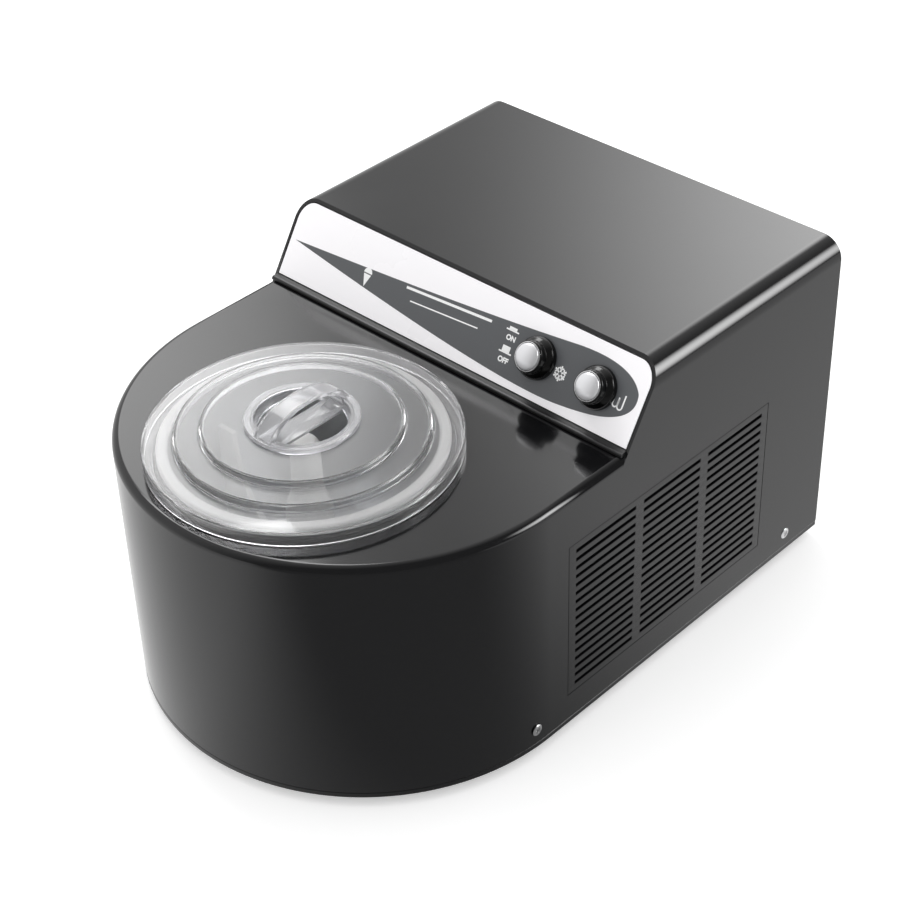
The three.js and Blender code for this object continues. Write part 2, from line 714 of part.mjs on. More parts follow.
// Round insert in the middle of the lid: a rim, an arched bar handle and two half-moon openings.
function lidInsert() {
  const rimBottom = lidTopZ + gap;
  const rimTop = rimBottom + 1.8;
  const floorTop = lidTopZ - 3;
  const floorBottom = floorTop - 1.8;
  const cup = turned([
    [0, floorBottom], [insertBodyRadius, floorBottom], [insertBodyRadius, rimBottom],
    [insertRadius, rimBottom], [insertRadius, rimTop - 0.6], [insertRadius - 0.6, rimTop],
    [insertBodyRadius - 2, rimTop], [insertBodyRadius - 2, floorTop], [0, floorTop],
  ], 0, bowlY, largeRound);
  const openingRadius = insertBodyRadius - 4;
  const moons = disc(openingRadius, floorBottom - 5, rimTop + 5, 0, bowlY, largeRound).subtract(
    box(-handleWidth / 2 - 1, handleWidth / 2 + 1, bowlY - 60, bowlY + 60, floorBottom - 10, rimTop + 10),
  );
  const half = insertRadius - 2.5;
  const arch = new THREE.Shape();
  const crown = rimTop + handleArch;
  arch.moveTo(bowlY - half, floorTop - 1);
  arch.lineTo(bowlY - half, rimTop);
  arch.quadraticCurveTo(bowlY - half + 6, crown, bowlY, crown);
  arch.quadraticCurveTo(bowlY + half - 6, crown, bowlY + half, rimTop);
  arch.lineTo(bowlY + half, floorTop - 1);
  const innerHalf = half - handleThickness;
  const innerCrown = crown - handleThickness;
  arch.lineTo(bowlY + innerHalf, floorTop - 1);
  arch.quadraticCurveTo(bowlY + half - 9, innerCrown, bowlY, innerCrown);
  arch.quadraticCurveTo(bowlY - half + 9, innerCrown, bowlY - innerHalf, floorTop - 1);
  const bar = alongX(arch, -handleWidth / 2, handleWidth / 2, 7);
  const seat = disc(insertBodyRadius, floorBottom, lidTopZ, 0, bowlY, largeRound)
    .add(disc(insertRadius, rimBottom, crown + 5, 0, bowlY, largeRound));
  return cup.subtract(moons).add(bar.intersect(seat));
}

function evaporatorCoil() {
  const points = [];
  const stepsPerTurn = 18;
  const rise = 14;
  const start = potFloorZ + 18;
  for (let i = 0; i <= coilTurns * stepsPerTurn; i += 1) {
    const angle = Math.PI / 2 + (i / stepsPerTurn) * Math.PI * 2;
    points.push([
      coilRadius * Math.cos(angle),
      bowlY + coilRadius * Math.sin(angle),
      start + (rise * i) / stepsPerTurn,
    ]);
  }
  return solid(sweptBar(points, coilTubeRadius - 0.2, coilTurns * stepsPerTurn));
}

function insulationJacket() {
  const bottom = potFloorZ + 2;
  const top = deckHeight - wall - gap - 1.5 - gap;
  const ring = tubeRing(jacketInnerRadius, jacketOuterRadius, bottom, top, 0, bowlY, largeRound);
  const gateY0 = bowlY + coilRadius - 12;
  const pipeGate = box(-15, 15, gateY0, bowlY + jacketOuterRadius + 10, bottom - 5, top - 12);
  return ring.subtract(pipeGate);
}

// ---------- drive ----------
const pulleyZ = floorZ + 14;
const pulleyWidth = 11;
const drivenPulleyRadius = 52;
const beltSlack = 0.7; // the flats of the belt stay clear of the turning pulleys
const motorPulleyRadius = 13;
const motorHeight = 62;
const motorShaftRadius = 4;
const bracketThickness = 3;
const motorY = bowlY + jacketOuterRadius + motorRadius + 6;
const bearingOuter = 13;
const bearingHeight = 8;
const bearingFlangeRadius = 44;
const bearingShoulder = 2; // the housing's top lip over the upper bearing

function bearingHousing() {
  const bottom = pulleyZ + pulleyWidth + 3;
  const top = potFloorZ - gap;
  const bore = bearingOuter + gap;
  const tubeOuter = bearingOuter + 6;
  const flangeBottom = top - 3;
  const shoulder = top - bearingShoulder;
  return turned([
    [bore, bottom], [tubeOuter, bottom], [tubeOuter, flangeBottom], [bearingFlangeRadius, flangeBottom],
    [bearingFlangeRadius, top], [bearingOuter - 2, top], [bearingOuter - 2, shoulder], [bore, shoulder],
    [bore, bottom],
  ], 0, bowlY);
}

function shaftBearing(bottom) {
  return tubeRing(shaftRadius + gap, bearingOuter, bottom, bottom + bearingHeight, 0, bowlY);
}

function driveShaft() {
  const bottom = pulleyZ - 6;
  return disc(shaftRadius, bottom, bowlTubeTop + 24, 0, bowlY, smallRound);
}

function pulley(x, y, radius, boreRadius, z) {
  const rim = radius + 2.5;
  const top = z + pulleyWidth;
  return turned([
    [boreRadius, z], [rim, z], [rim, z + 1.6], [radius, z + 1.6], [radius, top - 1.6], [rim, top - 1.6],
    [rim, top], [boreRadius, top], [boreRadius, z],
  ], x, y);
}

function beltShape(offset) {
  const distance = motorY - bowlY;
  const big = drivenPulleyRadius + offset;
  const small = motorPulleyRadius + offset;
  const tangent = Math.asin((big - small) / distance);
  const shape = new THREE.Path();
  shape.absarc(0, bowlY, big, Math.PI - tangent, Math.PI * 2 + tangent, false);
  shape.absarc(0, motorY, small, tangent, Math.PI - tangent, false);
  return shape;
}

function driveBelt() {
  const outer = new THREE.Shape(beltShape(beltSlack + 1.8).getPoints(10));
  outer.holes.push(new THREE.Path(beltShape(beltSlack).getPoints(10)));
  return upright(outer, pulleyZ + 1.6 + gap, pulleyZ + pulleyWidth - 1.6 - gap);
}

function driveMotor() {
  const plateZ = pulleyZ + pulleyWidth + 3;
  const motorTop = plateZ + motorHeight;
  return joinAll(
    disc(motorRadius, plateZ + bracketThickness + gap, motorTop, 0, motorY),
    disc(8, motorTop - 2, motorTop + 4, 0, motorY),
    disc(motorShaftRadius, pulleyZ - 2, plateZ + 6, 0, motorY, smallRound),
  );
}

function motorBracket() {
  const plateZ = pulleyZ + pulleyWidth + 3;
  const half = motorRadius + 4;
  const plate = box(-half, half, motorY - half + 4, motorY + half, plateZ, plateZ + bracketThickness);
  const legs = [-1, 1].map((side) => boxBetween(
    [side * half, side * (half - bracketThickness)], [motorY - 12, motorY + half], [floorZ, plateZ + 1],
  ));
  const shaftHole = disc(9, plateZ - 5, plateZ + 10, 0, motorY);
  return joinAll(plate, ...legs).subtract(shaftHole);
}

// ---------- refrigeration ----------
const condenserX0 = sideX - 32;
const condenserX1 = sideX - 12;
const fanX = sideX - 46;
const fanY = (ventFrontY + ventRearY) / 2;
const fanZ = ventBottom + ventHeight / 2;
const compressorX = compressorRadius + 22 - sideX;
const compressorY = backY - compressorRadius - 38;
const compressorFootZ = floorZ + 12;
const condenserY0 = ventFrontY + 4;
const condenserY1 = ventRearY - 4;
const condenserZ0 = floorZ + 8;
const condenserZ1 = ventTop - 2;

function compressor() {
  const r = compressorRadius;
  const z = compressorFootZ;
  const top = z + compressorHeight;
  const can = turned([
    [0, z + 3], [r - 18, z + 3], [r - 8, z + 7], [r - 2, z + 18], [r - 2, z + 62], [r + 2, z + 63],
    [r + 2, z + 67], [r - 2, z + 68], [r - 3, top - 30], [r - 9, top - 12], [r - 22, top - 3], [0, top],
  ], compressorX, compressorY);
  const plate = box(compressorX - r + 2, compressorX + r - 2, compressorY - 34, compressorY + 34, z, z + 4);
  const holes = compressorMountPlaces().map(([, x, y]) => disc(4.6, z - 5, z + 3, x, y, smallRound));
  return cutAll(can.add(plate), holes);
}

function compressorMountPlaces() {
  const dx = compressorRadius - 8;
  return [
    ['front_right', compressorX + dx, compressorY - 27],
    ['front_left', compressorX - dx, compressorY - 27],
    ['rear_right', compressorX + dx, compressorY + 27],
    ['rear_left', compressorX - dx, compressorY + 27],
  ];
}

function compressorGrommet(x, y) {
  const top = compressorFootZ - gap;
  return turned([
    [0, floorZ], [7, floorZ], [7.6, floorZ + 3], [6.4, floorZ + 6], [7.6, floorZ + 9], [7, top], [4, top],
    [4, top + 2.6], [0, top + 2.6],
  ], x, y, smallRound);
}

function startRelay() {
  const x = compressorX + compressorRadius + gap + 2.4;
  return box(x, x + 18, compressorY - 16, compressorY + 16, compressorFootZ + 74, compressorFootZ + 112);
}

// A finned block with the bends of its tube at the front end.
function condenser() {
  const block = box(condenserX0, condenserX1, condenserY0, condenserY1, condenserZ0, condenserZ1);
  const grooves = [];
  const finPitch = 12;
  const endPlate = 6;
  const count = Math.floor((condenserY1 - condenserY0 - 2 * endPlate) / finPitch);
  for (let i = 0; i < count; i += 1) {
    const y = condenserY0 + endPlate + 2 + i * finPitch;
    const low = condenserZ0 + endPlate;
    const high = condenserZ1 - endPlate;
    grooves.push(box(condenserX1 - 7, condenserX1 + 5, y, y + 5, low, high));
  }
  const bends = [];
  const bendPitch = 21;
  for (let z = condenserZ0 + 14; z + bendPitch / 2 < condenserZ1; z += bendPitch) {
    bends.push(box(condenserX0 + 6, condenserX0 + 14, condenserY0 - 7, condenserY0 + 1, z, z + 10));
  }
  return joinAll(cutAll(block, grooves), ...bends);
}

// A plate behind the condenser with a round collar for the fan, and two arms that hold the fan motor.
function fanShroud() {
  const x1 = condenserX0 - gap;
  const x0 = x1 - 2;
  const holeRadius = fanRadius + 4;
  const hole = turnedAboutX(
    [[0, x0 - 20], [holeRadius, x0 - 20], [holeRadius, x1 + 5], [0, x1 + 5]], fanY, fanZ);
  const collar = turnedAboutX(
    [[fanRadius + 4, x0 - 9], [fanRadius + 6, x0 - 9], [fanRadius + 6, x1 - 1], [fanRadius + 4, x1 - 1],
      [fanRadius + 4, x0 - 9]], fanY, fanZ);
  const bars = [1, -1].map((side) => boxBetween(
    [x0 - 29, x0 - 27], [fanY - 3, fanY + 3], [fanZ + side * 18.5, fanZ + side * (fanRadius + 6)],
  ));
  const struts = [1, -1].map((side) => boxBetween(
    [x0 - 29, x0 + 1], [fanY - 3, fanY + 3], [fanZ + side * (fanRadius + 5), fanZ + side * (fanRadius + 7)],
  ));
  const ring = turnedAboutX(
    [[18, x0 - 29], [22, x0 - 29], [22, x0 - 25], [18, x0 - 25], [18, x0 - 29]], fanY, fanZ);
  const plate = box(x0, x1, condenserY0, condenserY1, condenserZ0, condenserZ1).subtract(hole);
  return joinAll(plate, collar, ...bars, ...struts, ring);
}

function fanMotor() {
  const x = fanX - 9;
  return turnedAboutX([
    [0, x - 26], [17, x - 26], [17.6, x - 24], [17.6, x - 2], [10, x], [fanShaftRadius, x],
    [fanShaftRadius, x + 10], [0, x + 10],
  ], fanY, fanZ);
}

function condenserFan() {
  const x0 = fanX - 8;
  const boreRadius = fanShaftRadius + gap;
  const hub = turnedAboutX(
    [[boreRadius, x0], [12, x0], [13, x0 + 2], [13, x0 + 11], [boreRadius, x0 + 11], [boreRadius, x0]],
    fanY, fanZ, smallRound,
  );
  const blades = [];
  const count = 5;
  for (let i = 0; i < count; i += 1) {
    const geometry = new THREE.BoxGeometry(1.6, 26, fanRadius - 13);
    geometry.rotateZ(THREE.MathUtils.degToRad(24));
    geometry.translate(x0 + 5.5, 0, 11 + (fanRadius - 13) / 2);
    geometry.rotateX((i / count) * Math.PI * 2);
    geometry.translate(0, fanY, fanZ);
    blades.push(solid(geometry));
  }
  const trim = turnedAboutX(
    [[0, x0 - 10], [fanRadius, x0 - 10], [fanRadius, x0 + 20], [0, x0 + 20]], fanY, fanZ,
  );
  const bore = turnedAboutX(
    [[0, x0 - 10], [boreRadius, x0 - 10], [boreRadius, x0 + 20], [0, x0 + 20]], fanY, fanZ, smallRound,
  );
  return joinAll(hub, ...blades).intersect(trim).subtract(bore);
}

const pipeRadius = 3.2;

function dischargePipe() {
  const canSide = compressorX + compressorRadius;
  const z = compressorFootZ + 46;
  const high = condenserZ1 + 20; // the pipe's run over the fan and the condenser
  const inX = condenserX0 + 10;
  return sweptBar([
    [canSide - gap + 0.1, compressorY + 32, z], [canSide + 10.5, compressorY + 34, z],
    [canSide + 28.5, compressorY + 40, z + 20], [canSide + 40.5, compressorY + 40, high - 1],
    [condenserX0 - 30, condenserY1 + 18, high + 2], [inX, condenserY1 + 14, high - 3],
    [inX, condenserY1 + 13, high - 31], [inX, condenserY1 + 6, high - 43],
    [inX, condenserY1 + gap + 1.6, high - 45],
  ], pipeRadius, 26);
}

function suctionPipe() {
  const z = potFloorZ + 18 + 14 * coilTurns;
  const y = bowlY + jacketOuterRadius;
  const canFront = compressorY - compressorRadius;
  return sweptBar([
    [-6, bowlY + coilRadius + coilTubeRadius + 3.6, z - 20], [-14, y + 6, z - 18], [-26, y + 10, z - 4],
    [compressorX + 30, canFront - 12, z], [compressorX + 12, canFront - 8, z - 24],
    [compressorX + 4, canFront - 7, compressorFootZ + 60],
    [compressorX + 2, canFront - 4.6, compressorFootZ + 40],
  ], pipeRadius, 26);
}

function filterDrier() {
  const x = 4;
  const y = fanY + 48;
  const z = floorZ + 4;
  return turned([
    [0, z], [3, z], [3.4, z + 8], [9, z + 15], [9, z + 62], [3.4, z + 69], [3, z + 76], [0, z + 76],
  ], x, y, smallRound);
}

// ---------- assembly ----------
place('housing_shell', housingShell(), blackShell());
place('base_tray', baseTray(), blackTrim());
for (const [name, x, y] of footPlaces()) {
  place(`foot_${name}`, foot(x, y), rubber());
}
place('vent_grille_right', ventGrille(1), blackTrim());
place('vent_grille_left', ventGrille(-1), blackTrim());
for (const [sideName, side] of [['right', 1], ['left', -1]]) {
  sideScrewPlaces().forEach(([y, z], i) => {
    place(`side_screw_${sideName}_${i === 0 ? 'front' : 'rear'}`, sideScrew(side, y, z), steel());
  });
}
place('rear_panel', rearPanel(), blackTrim());
for (const [name, x, z] of rearScrewPlaces()) {
  place(`rear_screw_${name}`, rearScrew(x, z), steel());
}
place('power_inlet', powerInlet(), blackTrim());
place('control_fascia', controlFascia(), blackTrim());
place('fascia_label', fasciaLabel(), silverLabel());
buttonPositions.forEach((across, i) => {
  const use = i === 0 ? 'cooling' : 'mixing';
  place(`${use}_button_collar`, buttonCollar(across), rubber());
  place(`${use}_button`, pushButton(across), whitePlastic());
  place(`${use}_switch`, switchBody(across), greyPlastic());
});
place('evaporator_pot', evaporatorPot(), aluminium());
place('deck_seal', deckSeal(), rubber());
place('evaporator_coil', evaporatorCoil(), copper());
place('insulation_jacket', insulationJacket(), foam());
place('removable_bowl', removableBowl(), aluminium());
place('bowl_rim_ring', bowlRimRing(), whitePlastic());
place('mixing_paddle', mixingPaddle(), whitePlastic());
place('clear_lid', clearLid(), clearPlastic());
place('lid_insert', lidInsert(), clearPlastic());
place('bearing_housing', bearingHousing(), aluminium());
place('upper_bearing', shaftBearing(potFloorZ - bearingShoulder - 2 * gap - bearingHeight), steel());
place('lower_bearing', shaftBearing(pulleyZ + pulleyWidth + 4), steel());
place('drive_shaft', driveShaft(), steel());
place('driven_pulley', pulley(0, bowlY, drivenPulleyRadius, shaftRadius + gap, pulleyZ), aluminium());
place('motor_pulley', pulley(0, motorY, motorPulleyRadius, motorShaftRadius + gap, pulleyZ), aluminium());
place('drive_belt', driveBelt(), rubber());
place('drive_motor', driveMotor(), steel());
place('motor_bracket', motorBracket(), steel());
place('compressor', compressor(), blackEnamel());
for (const [name, x, y] of compressorMountPlaces()) {
  place(`compressor_grommet_${name}`, compressorGrommet(x, y), rubber());
}
place('start_relay', startRelay(), blackTrim());
place('condenser', condenser(), aluminium());
place('fan_shroud', fanShroud(), steel());
place('fan_motor', fanMotor(), steel());
place('condenser_fan', condenserFan(), blackTrim());
place('discharge_pipe', dischargePipe(), copper());
place('suction_pipe', suctionPipe(), copper());
place('filter_drier', filterDrier(), copper());

export default machine;
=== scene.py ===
"""Countertop ice-cream maker with its own compressor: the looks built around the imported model.
Metres, +Z up. The rounded bowl end faces -Y, the rear panel +Y, and the push buttons are on the +X side."""
import math

import bpy
from mathutils import Matrix, Vector


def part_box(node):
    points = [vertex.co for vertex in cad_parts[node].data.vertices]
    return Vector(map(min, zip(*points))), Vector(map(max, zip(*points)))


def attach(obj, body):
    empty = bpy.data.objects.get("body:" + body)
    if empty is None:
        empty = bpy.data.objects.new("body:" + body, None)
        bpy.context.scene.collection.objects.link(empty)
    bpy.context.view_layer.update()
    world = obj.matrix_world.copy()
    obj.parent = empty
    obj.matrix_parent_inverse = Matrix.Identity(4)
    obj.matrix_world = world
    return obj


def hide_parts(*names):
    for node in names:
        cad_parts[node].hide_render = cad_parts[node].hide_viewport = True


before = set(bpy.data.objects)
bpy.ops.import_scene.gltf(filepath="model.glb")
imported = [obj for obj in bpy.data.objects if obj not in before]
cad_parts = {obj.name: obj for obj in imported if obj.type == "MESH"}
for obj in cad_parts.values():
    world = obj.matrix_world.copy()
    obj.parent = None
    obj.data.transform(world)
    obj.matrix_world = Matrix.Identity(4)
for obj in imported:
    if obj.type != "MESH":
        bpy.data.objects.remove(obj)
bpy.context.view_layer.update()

MM = 0.001
GAP = 0.3 * MM

# ---------- places taken from the frame ----------
shell_low, shell_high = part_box("housing_shell")
HALF_WIDTH = shell_high.x
FRONT, BACK, TOP = shell_low.y, shell_high.y, shell_high.z
SHELL_BOTTOM = shell_low.z
ARC_Y = FRONT + HALF_WIDTH
lid_low, lid_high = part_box("clear_lid")
BOWL_Y = (lid_low.y + lid_high.y) / 2
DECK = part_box("control_fascia")[0].z - GAP
TOE_Y = FRONT + 210 * MM
LEAN = math.radians(32.4)
SLOPE_LENGTH = (TOP - DECK) / math.cos(LEAN)
WALL = 2 * MM
TOP_EDGE_RADIUS = 14 * MM
DECK_EDGE_RADIUS = 5 * MM
DECK_HOLE_RADIUS = 86.4 * MM
BUTTON_ACROSS = {"cooling": 65.8 * MM, "mixing": 111 * MM}
BUTTON_UP = 28.5 * MM
BUTTON_RADIUS = 8 * MM
BUTTON_TRAVEL = 3 * MM
COLLAR_HEIGHT = 11.4 * MM

SLOPE = Matrix.Translation((0, TOE_Y, DECK)) @ Matrix.Rotation(math.pi / 2 - LEAN, 4, "X")
FINE = 144  # flats round a large turned piece


# ---------- modelling helpers ----------
def deselect():
    active = bpy.context.view_layer.objects.active
    if active and active.mode != "OBJECT":
        bpy.ops.object.mode_set(mode="OBJECT")
    bpy.ops.object.select_all(action="DESELECT")


def pick(piece):
    deselect()
    piece.select_set(True)
    bpy.context.view_layer.objects.active = piece


def draw(name, points, closed=True, filled=False):
    """A chain of edges through the points, extruded one by one from a single point. Ends in edit mode."""
    deselect()
    bpy.ops.mesh.primitive_plane_add(size=MM)
    piece = bpy.context.object
    piece.name = name
    piece.data.name = name
    bpy.ops.object.mode_set(mode="EDIT")
    bpy.ops.mesh.merge(type="CENTER")
    chain = [Vector(point) for point in points]
    if closed:
        chain.append(chain[0])
    bpy.ops.transform.translate(value=chain[0])
    for here, there in zip(chain, chain[1:]):
        bpy.ops.mesh.extrude_region_move(TRANSFORM_OT_translate={"value": there - here})
    bpy.ops.mesh.select_all(action="SELECT")
    bpy.ops.mesh.remove_doubles(threshold=0.001 * MM)
    if filled:
        bpy.ops.mesh.edge_face_add()
    return piece


def apply_modifier(piece, kind, **settings):
    pick(piece)
    modifier = piece.modifiers.new(kind.lower(), kind)
    for key, value in settings.items():
        setattr(modifier, key, value)
    bpy.ops.object.modifier_apply(modifier=modifier.name)


def smooth(piece, angle=32):
    pick(piece)
    bpy.ops.object.shade_smooth_by_angle(angle=math.radians(angle))
    apply_modifier(piece, "WEIGHTED_NORMAL", keep_sharp=True)


def round_edges(piece, width, segments=3, angle=30):
    apply_modifier(
        piece, "BEVEL", width=width, segments=segments, limit_method="ANGLE", angle_limit=math.radians(angle)
    )
    smooth(piece)


def face_outwards():
    bpy.ops.mesh.select_all(action="SELECT")
    bpy.ops.mesh.normals_make_consistent(inside=False)


def set_down(piece, matrix):
    """Moves and turns a finished shape into place, and leaves its object at the origin."""
    pick(piece)
    piece.matrix_world = matrix
    bpy.ops.object.transform_apply(location=True, rotation=True, scale=True)
    return piece


def slab(name, points, rise, edge=0.0, segments=3):
    """A flat outline filled and extruded by the vector rise."""
    piece = draw(name, points, filled=True)
    bpy.ops.mesh.extrude_region_move(TRANSFORM_OT_translate={"value": rise})
    face_outwards()
    bpy.ops.object.mode_set(mode="OBJECT")
    if edge:
        round_edges(piece, edge, segments)
    return piece


def turned(name, profile, steps=FINE, edge=0.3 * MM, segments=2, at=(0, 0)):
    """A turned piece about Z from (radius, height) points, closed on itself or from axis to axis."""
    piece = draw(name, [(radius, 0, z) for radius, z in profile], closed=profile[0][0] > 0)
    bpy.ops.mesh.select_all(action="SELECT")
    bpy.ops.mesh.spin(steps=steps, angle=math.tau, center=(0, 0, 0), axis=(0, 0, 1), use_auto_merge=True)
    bpy.ops.mesh.select_all(action="SELECT")
    bpy.ops.mesh.remove_doubles(threshold=0.001 * MM)
    face_outwards()
    bpy.ops.transform.translate(value=(at[0], at[1], 0))
    bpy.ops.object.mode_set(mode="OBJECT")
    if edge:
        round_edges(piece, edge, segments)
    else:
        smooth(piece)
    return piece


def block(name, low, high, edge=0.0, segments=3):
    deselect()
    bpy.ops.mesh.primitive_cube_add(size=1, location=(Vector(low) + Vector(high)) / 2)
    piece = bpy.context.object
    piece.name = name
    piece.scale = Vector(high) - Vector(low)
    bpy.ops.object.transform_apply(location=True, rotation=True, scale=True)
    if edge:
        round_edges(piece, edge, segments)
    return piece


def combine(piece, other, operation):
    """Joins the other shape to the piece, or cuts it away, and deletes the other shape."""
    apply_modifier(piece, "BOOLEAN", object=other, operation=operation, solver="EXACT")
    bpy.data.objects.remove(other)


def drum(name, radius, z0, z1, at=(0, 0), steps=64):
    return turned(name, [(0, z0), (radius, z0), (radius, z1), (0, z1)], steps=steps, edge=0, at=at)


def arc(x, y, radius, start, end, steps):
    """Points along an arc, angles in degrees."""
    angles = [math.radians(start + (end - start) * i / steps) for i in range(steps + 1)]
    return [(x + radius * math.cos(a), y + radius * math.sin(a)) for a in angles]


def curve_through(start, control, end, steps=24):
    """Points along a quadratic curve, with the last point left to the next stretch."""
    points = []
    for i in range(steps):
        t = i / steps
        points.append(tuple(
            (1 - t) ** 2 * a + 2 * t * (1 - t) * b + t**2 * c for a, b, c in zip(start, control, end)
        ))
    return points


def seat(piece, body, slot, material, *nodes):
    """Gives a finished piece its finish, the body it rides on and the model's nodes that it stands for."""
    piece.data.materials.clear()
    piece.data.materials.append(material)
    for polygon in piece.data.polygons:
        polygon.material_index = 0
    if nodes:
        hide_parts(*nodes)
    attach(piece, body)
    return piece


# ---------- shared effects ----------
def socket(group, name, way, kind, default=None):
    made = group.interface.new_socket(name=name, in_out=way, socket_type=kind)
    if default is not None:
        made.default_value = default
    return made


def handled_surface():
    """Uneven gloss from handling and cleaning: broad smears, fine specks and a faint dulling in patches."""
    group = bpy.data.node_groups.new("handled_surface", "ShaderNodeTree")
    socket(group, "Vector", "INPUT", "NodeSocketVector")
    socket(group, "Polish", "INPUT", "NodeSocketFloat", 0.2)
    socket(group, "Unevenness", "INPUT", "NodeSocketFloat", 0.08)
    socket(group, "Roughness", "OUTPUT", "NodeSocketFloat")
    socket(group, "Dust", "OUTPUT", "NodeSocketFloat")
    nodes, links = group.nodes, group.links
    inlet = nodes.new("NodeGroupInput")
    outlet = nodes.new("NodeGroupOutput")
    smear = nodes.new("ShaderNodeTexNoise")
    smear.inputs["Scale"].default_value = 22
    smear.inputs["Detail"].default_value = 4
    speck = nodes.new("ShaderNodeTexNoise")
    speck.inputs["Scale"].default_value = 900
    speck.inputs["Detail"].default_value = 2
    links.new(inlet.outputs["Vector"], smear.inputs["Vector"])
    links.new(inlet.outputs["Vector"], speck.inputs["Vector"])
    centred = nodes.new("ShaderNodeMath")
    centred.operation = "SUBTRACT"
    centred.inputs[1].default_value = 0.5
    links.new(smear.outputs["Fac"], centred.inputs[0])
    scaled = nodes.new("ShaderNodeMath")
    scaled.operation = "MULTIPLY_ADD"
    links.new(centred.outputs[0], scaled.inputs[0])
    links.new(inlet.outputs["Unevenness"], scaled.inputs[1])
    links.new(inlet.outputs["Polish"], scaled.inputs[2])
    links.new(scaled.outputs[0], outlet.inputs["Roughness"])
    ramp = nodes.new("ShaderNodeMapRange")
    ramp.inputs["From Min"].default_value = 0.66
    ramp.inputs["From Max"].default_value = 0.78
    links.new(speck.outputs["Fac"], ramp.inputs["Value"])
    links.new(ramp.outputs["Result"], outlet.inputs["Dust"])
    return group


def moulded_grain():
    """Fine orange-peel of a moulded or painted surface, as a height."""
    group = bpy.data.node_groups.new("moulded_grain", "ShaderNodeTree")
    socket(group, "Vector", "INPUT", "NodeSocketVector")
    socket(group, "Scale", "INPUT", "NodeSocketFloat", 1200)
    socket(group, "Height", "OUTPUT", "NodeSocketFloat")
    nodes, links = group.nodes, group.links
    inlet = nodes.new("NodeGroupInput")
    outlet = nodes.new("NodeGroupOutput")
    noise = nodes.new("ShaderNodeTexNoise")
    noise.inputs["Detail"].default_value = 3
    links.new(inlet.outputs["Vector"], noise.inputs["Vector"])
    links.new(inlet.outputs["Scale"], noise.inputs["Scale"])
    links.new(noise.outputs["Fac"], outlet.inputs["Height"])
    return group


def machined_lines():
    """Fine parallel lines left by turning or rolling, across Z."""
    group = bpy.data.node_groups.new("machined_lines", "ShaderNodeTree")
    socket(group, "Vector", "INPUT", "NodeSocketVector")
    socket(group, "Height", "OUTPUT", "NodeSocketFloat")
    nodes, links = group.nodes, group.links
    inlet = nodes.new("NodeGroupInput")
    outlet = nodes.new("NodeGroupOutput")
    stretch = nodes.new("ShaderNodeMapping")
    stretch.inputs["Scale"].default_value = (40, 40, 3000)
    noise = nodes.new("ShaderNodeTexNoise")
    noise.inputs["Scale"].default_value = 1
    noise.inputs["Detail"].default_value = 4
    links.new(inlet.outputs["Vector"], stretch.inputs["Vector"])
    links.new(stretch.outputs["Vector"], noise.inputs["Vector"])
    links.new(noise.outputs["Fac"], outlet.inputs["Height"])
    return group


HANDLED = handled_surface()
GRAIN = moulded_grain()
LINES = machined_lines()


def finish(name, colour, polish, unevenness=0.06, metal=0.0, dust=0.02, grain=1200, bump=0.02, lines=False,
           **constants):
    """A surface with uneven gloss, specks of dust and a fine grain or machining lines."""
    material = bpy.data.materials.new(name)
    material.use_nodes = True
    nodes, links = material.node_tree.nodes, material.node_tree.links
    surface = nodes["Principled BSDF"]
    place = nodes.new("ShaderNodeTexCoord")
    handled = nodes.new("ShaderNodeGroup")
    handled.node_tree = HANDLED
    handled.inputs["Polish"].default_value = polish
    handled.inputs["Unevenness"].default_value = unevenness
    links.new(place.outputs["Object"], handled.inputs["Vector"])
    links.new(handled.outputs["Roughness"], surface.inputs["Roughness"])
    tint = nodes.new("ShaderNodeMix")
    tint.data_type = "RGBA"
    tint.inputs[6].default_value = (*colour, 1)
    tint.inputs[7].default_value = (*[min(1.0, c + dust) for c in colour], 1)
    links.new(handled.outputs["Dust"], tint.inputs[0])
    links.new(tint.outputs[2], surface.inputs["Base Color"])
    texture = nodes.new("ShaderNodeGroup")
    texture.node_tree = LINES if lines else GRAIN
    if not lines:
        texture.inputs["Scale"].default_value = grain
    links.new(place.outputs["Object"], texture.inputs["Vector"])
    relief = nodes.new("ShaderNodeBump")
    relief.inputs["Strength"].default_value = bump
    relief.inputs["Distance"].default_value = 0.2 * MM
    links.new(texture.outputs["Height"], relief.inputs["Height"])
    links.new(relief.outputs["Normal"], surface.inputs["Normal"])
    surface.inputs["Metallic"].default_value = metal
    for key, value in constants.items():
        surface.inputs[key.replace("_", " ")].default_value = value
    return material


def clear_finish(name, tint, polish, clearness):
    """Clear plastic with the faint haze of handling."""
    material = finish(name, tint, polish, unevenness=0.05, dust=0.0, grain=300, bump=0.015)
    surface = material.node_tree.nodes["Principled BSDF"]
    surface.inputs["Transmission Weight"].default_value = clearness
    surface.inputs["IOR"].default_value = 1.49
    return material


housing_black = finish("housing_black", (0.005, 0.005, 0.0055), 0.11, 0.05, dust=0.01, grain=700, bump=0.015)
trim_black = finish("trim_black", (0.005, 0.005, 0.0055), 0.3, 0.1, dust=0.01, grain=1500, bump=0.06)
collar_black = finish("collar_black", (0.001, 0.001, 0.001), 0.16, 0.06, dust=0.005, grain=900, bump=0.03)
foot_rubber = finish("foot_rubber", (0.015, 0.015, 0.015), 0.75, 0.15, grain=1800, bump=0.2)
label_silver = finish("label_silver", (0.965, 0.95, 0.97), 0.28, 0.05, grain=2500, bump=0.02)
leaf_grey = finish("leaf_grey", (0.09, 0.094, 0.1), 0.3, 0.05, grain=2500, bump=0.02)
print_white = finish("print_white", (0.9, 0.9, 0.9), 0.35, 0.05, grain=2500, bump=0.01)
button_pearl = finish("button_pearl", (0.8, 0.8, 0.82), 0.26, 0.05, metal=0.55, grain=900, bump=0.01,
                      Coat_Weight=0.6, Coat_Roughness=0.05)
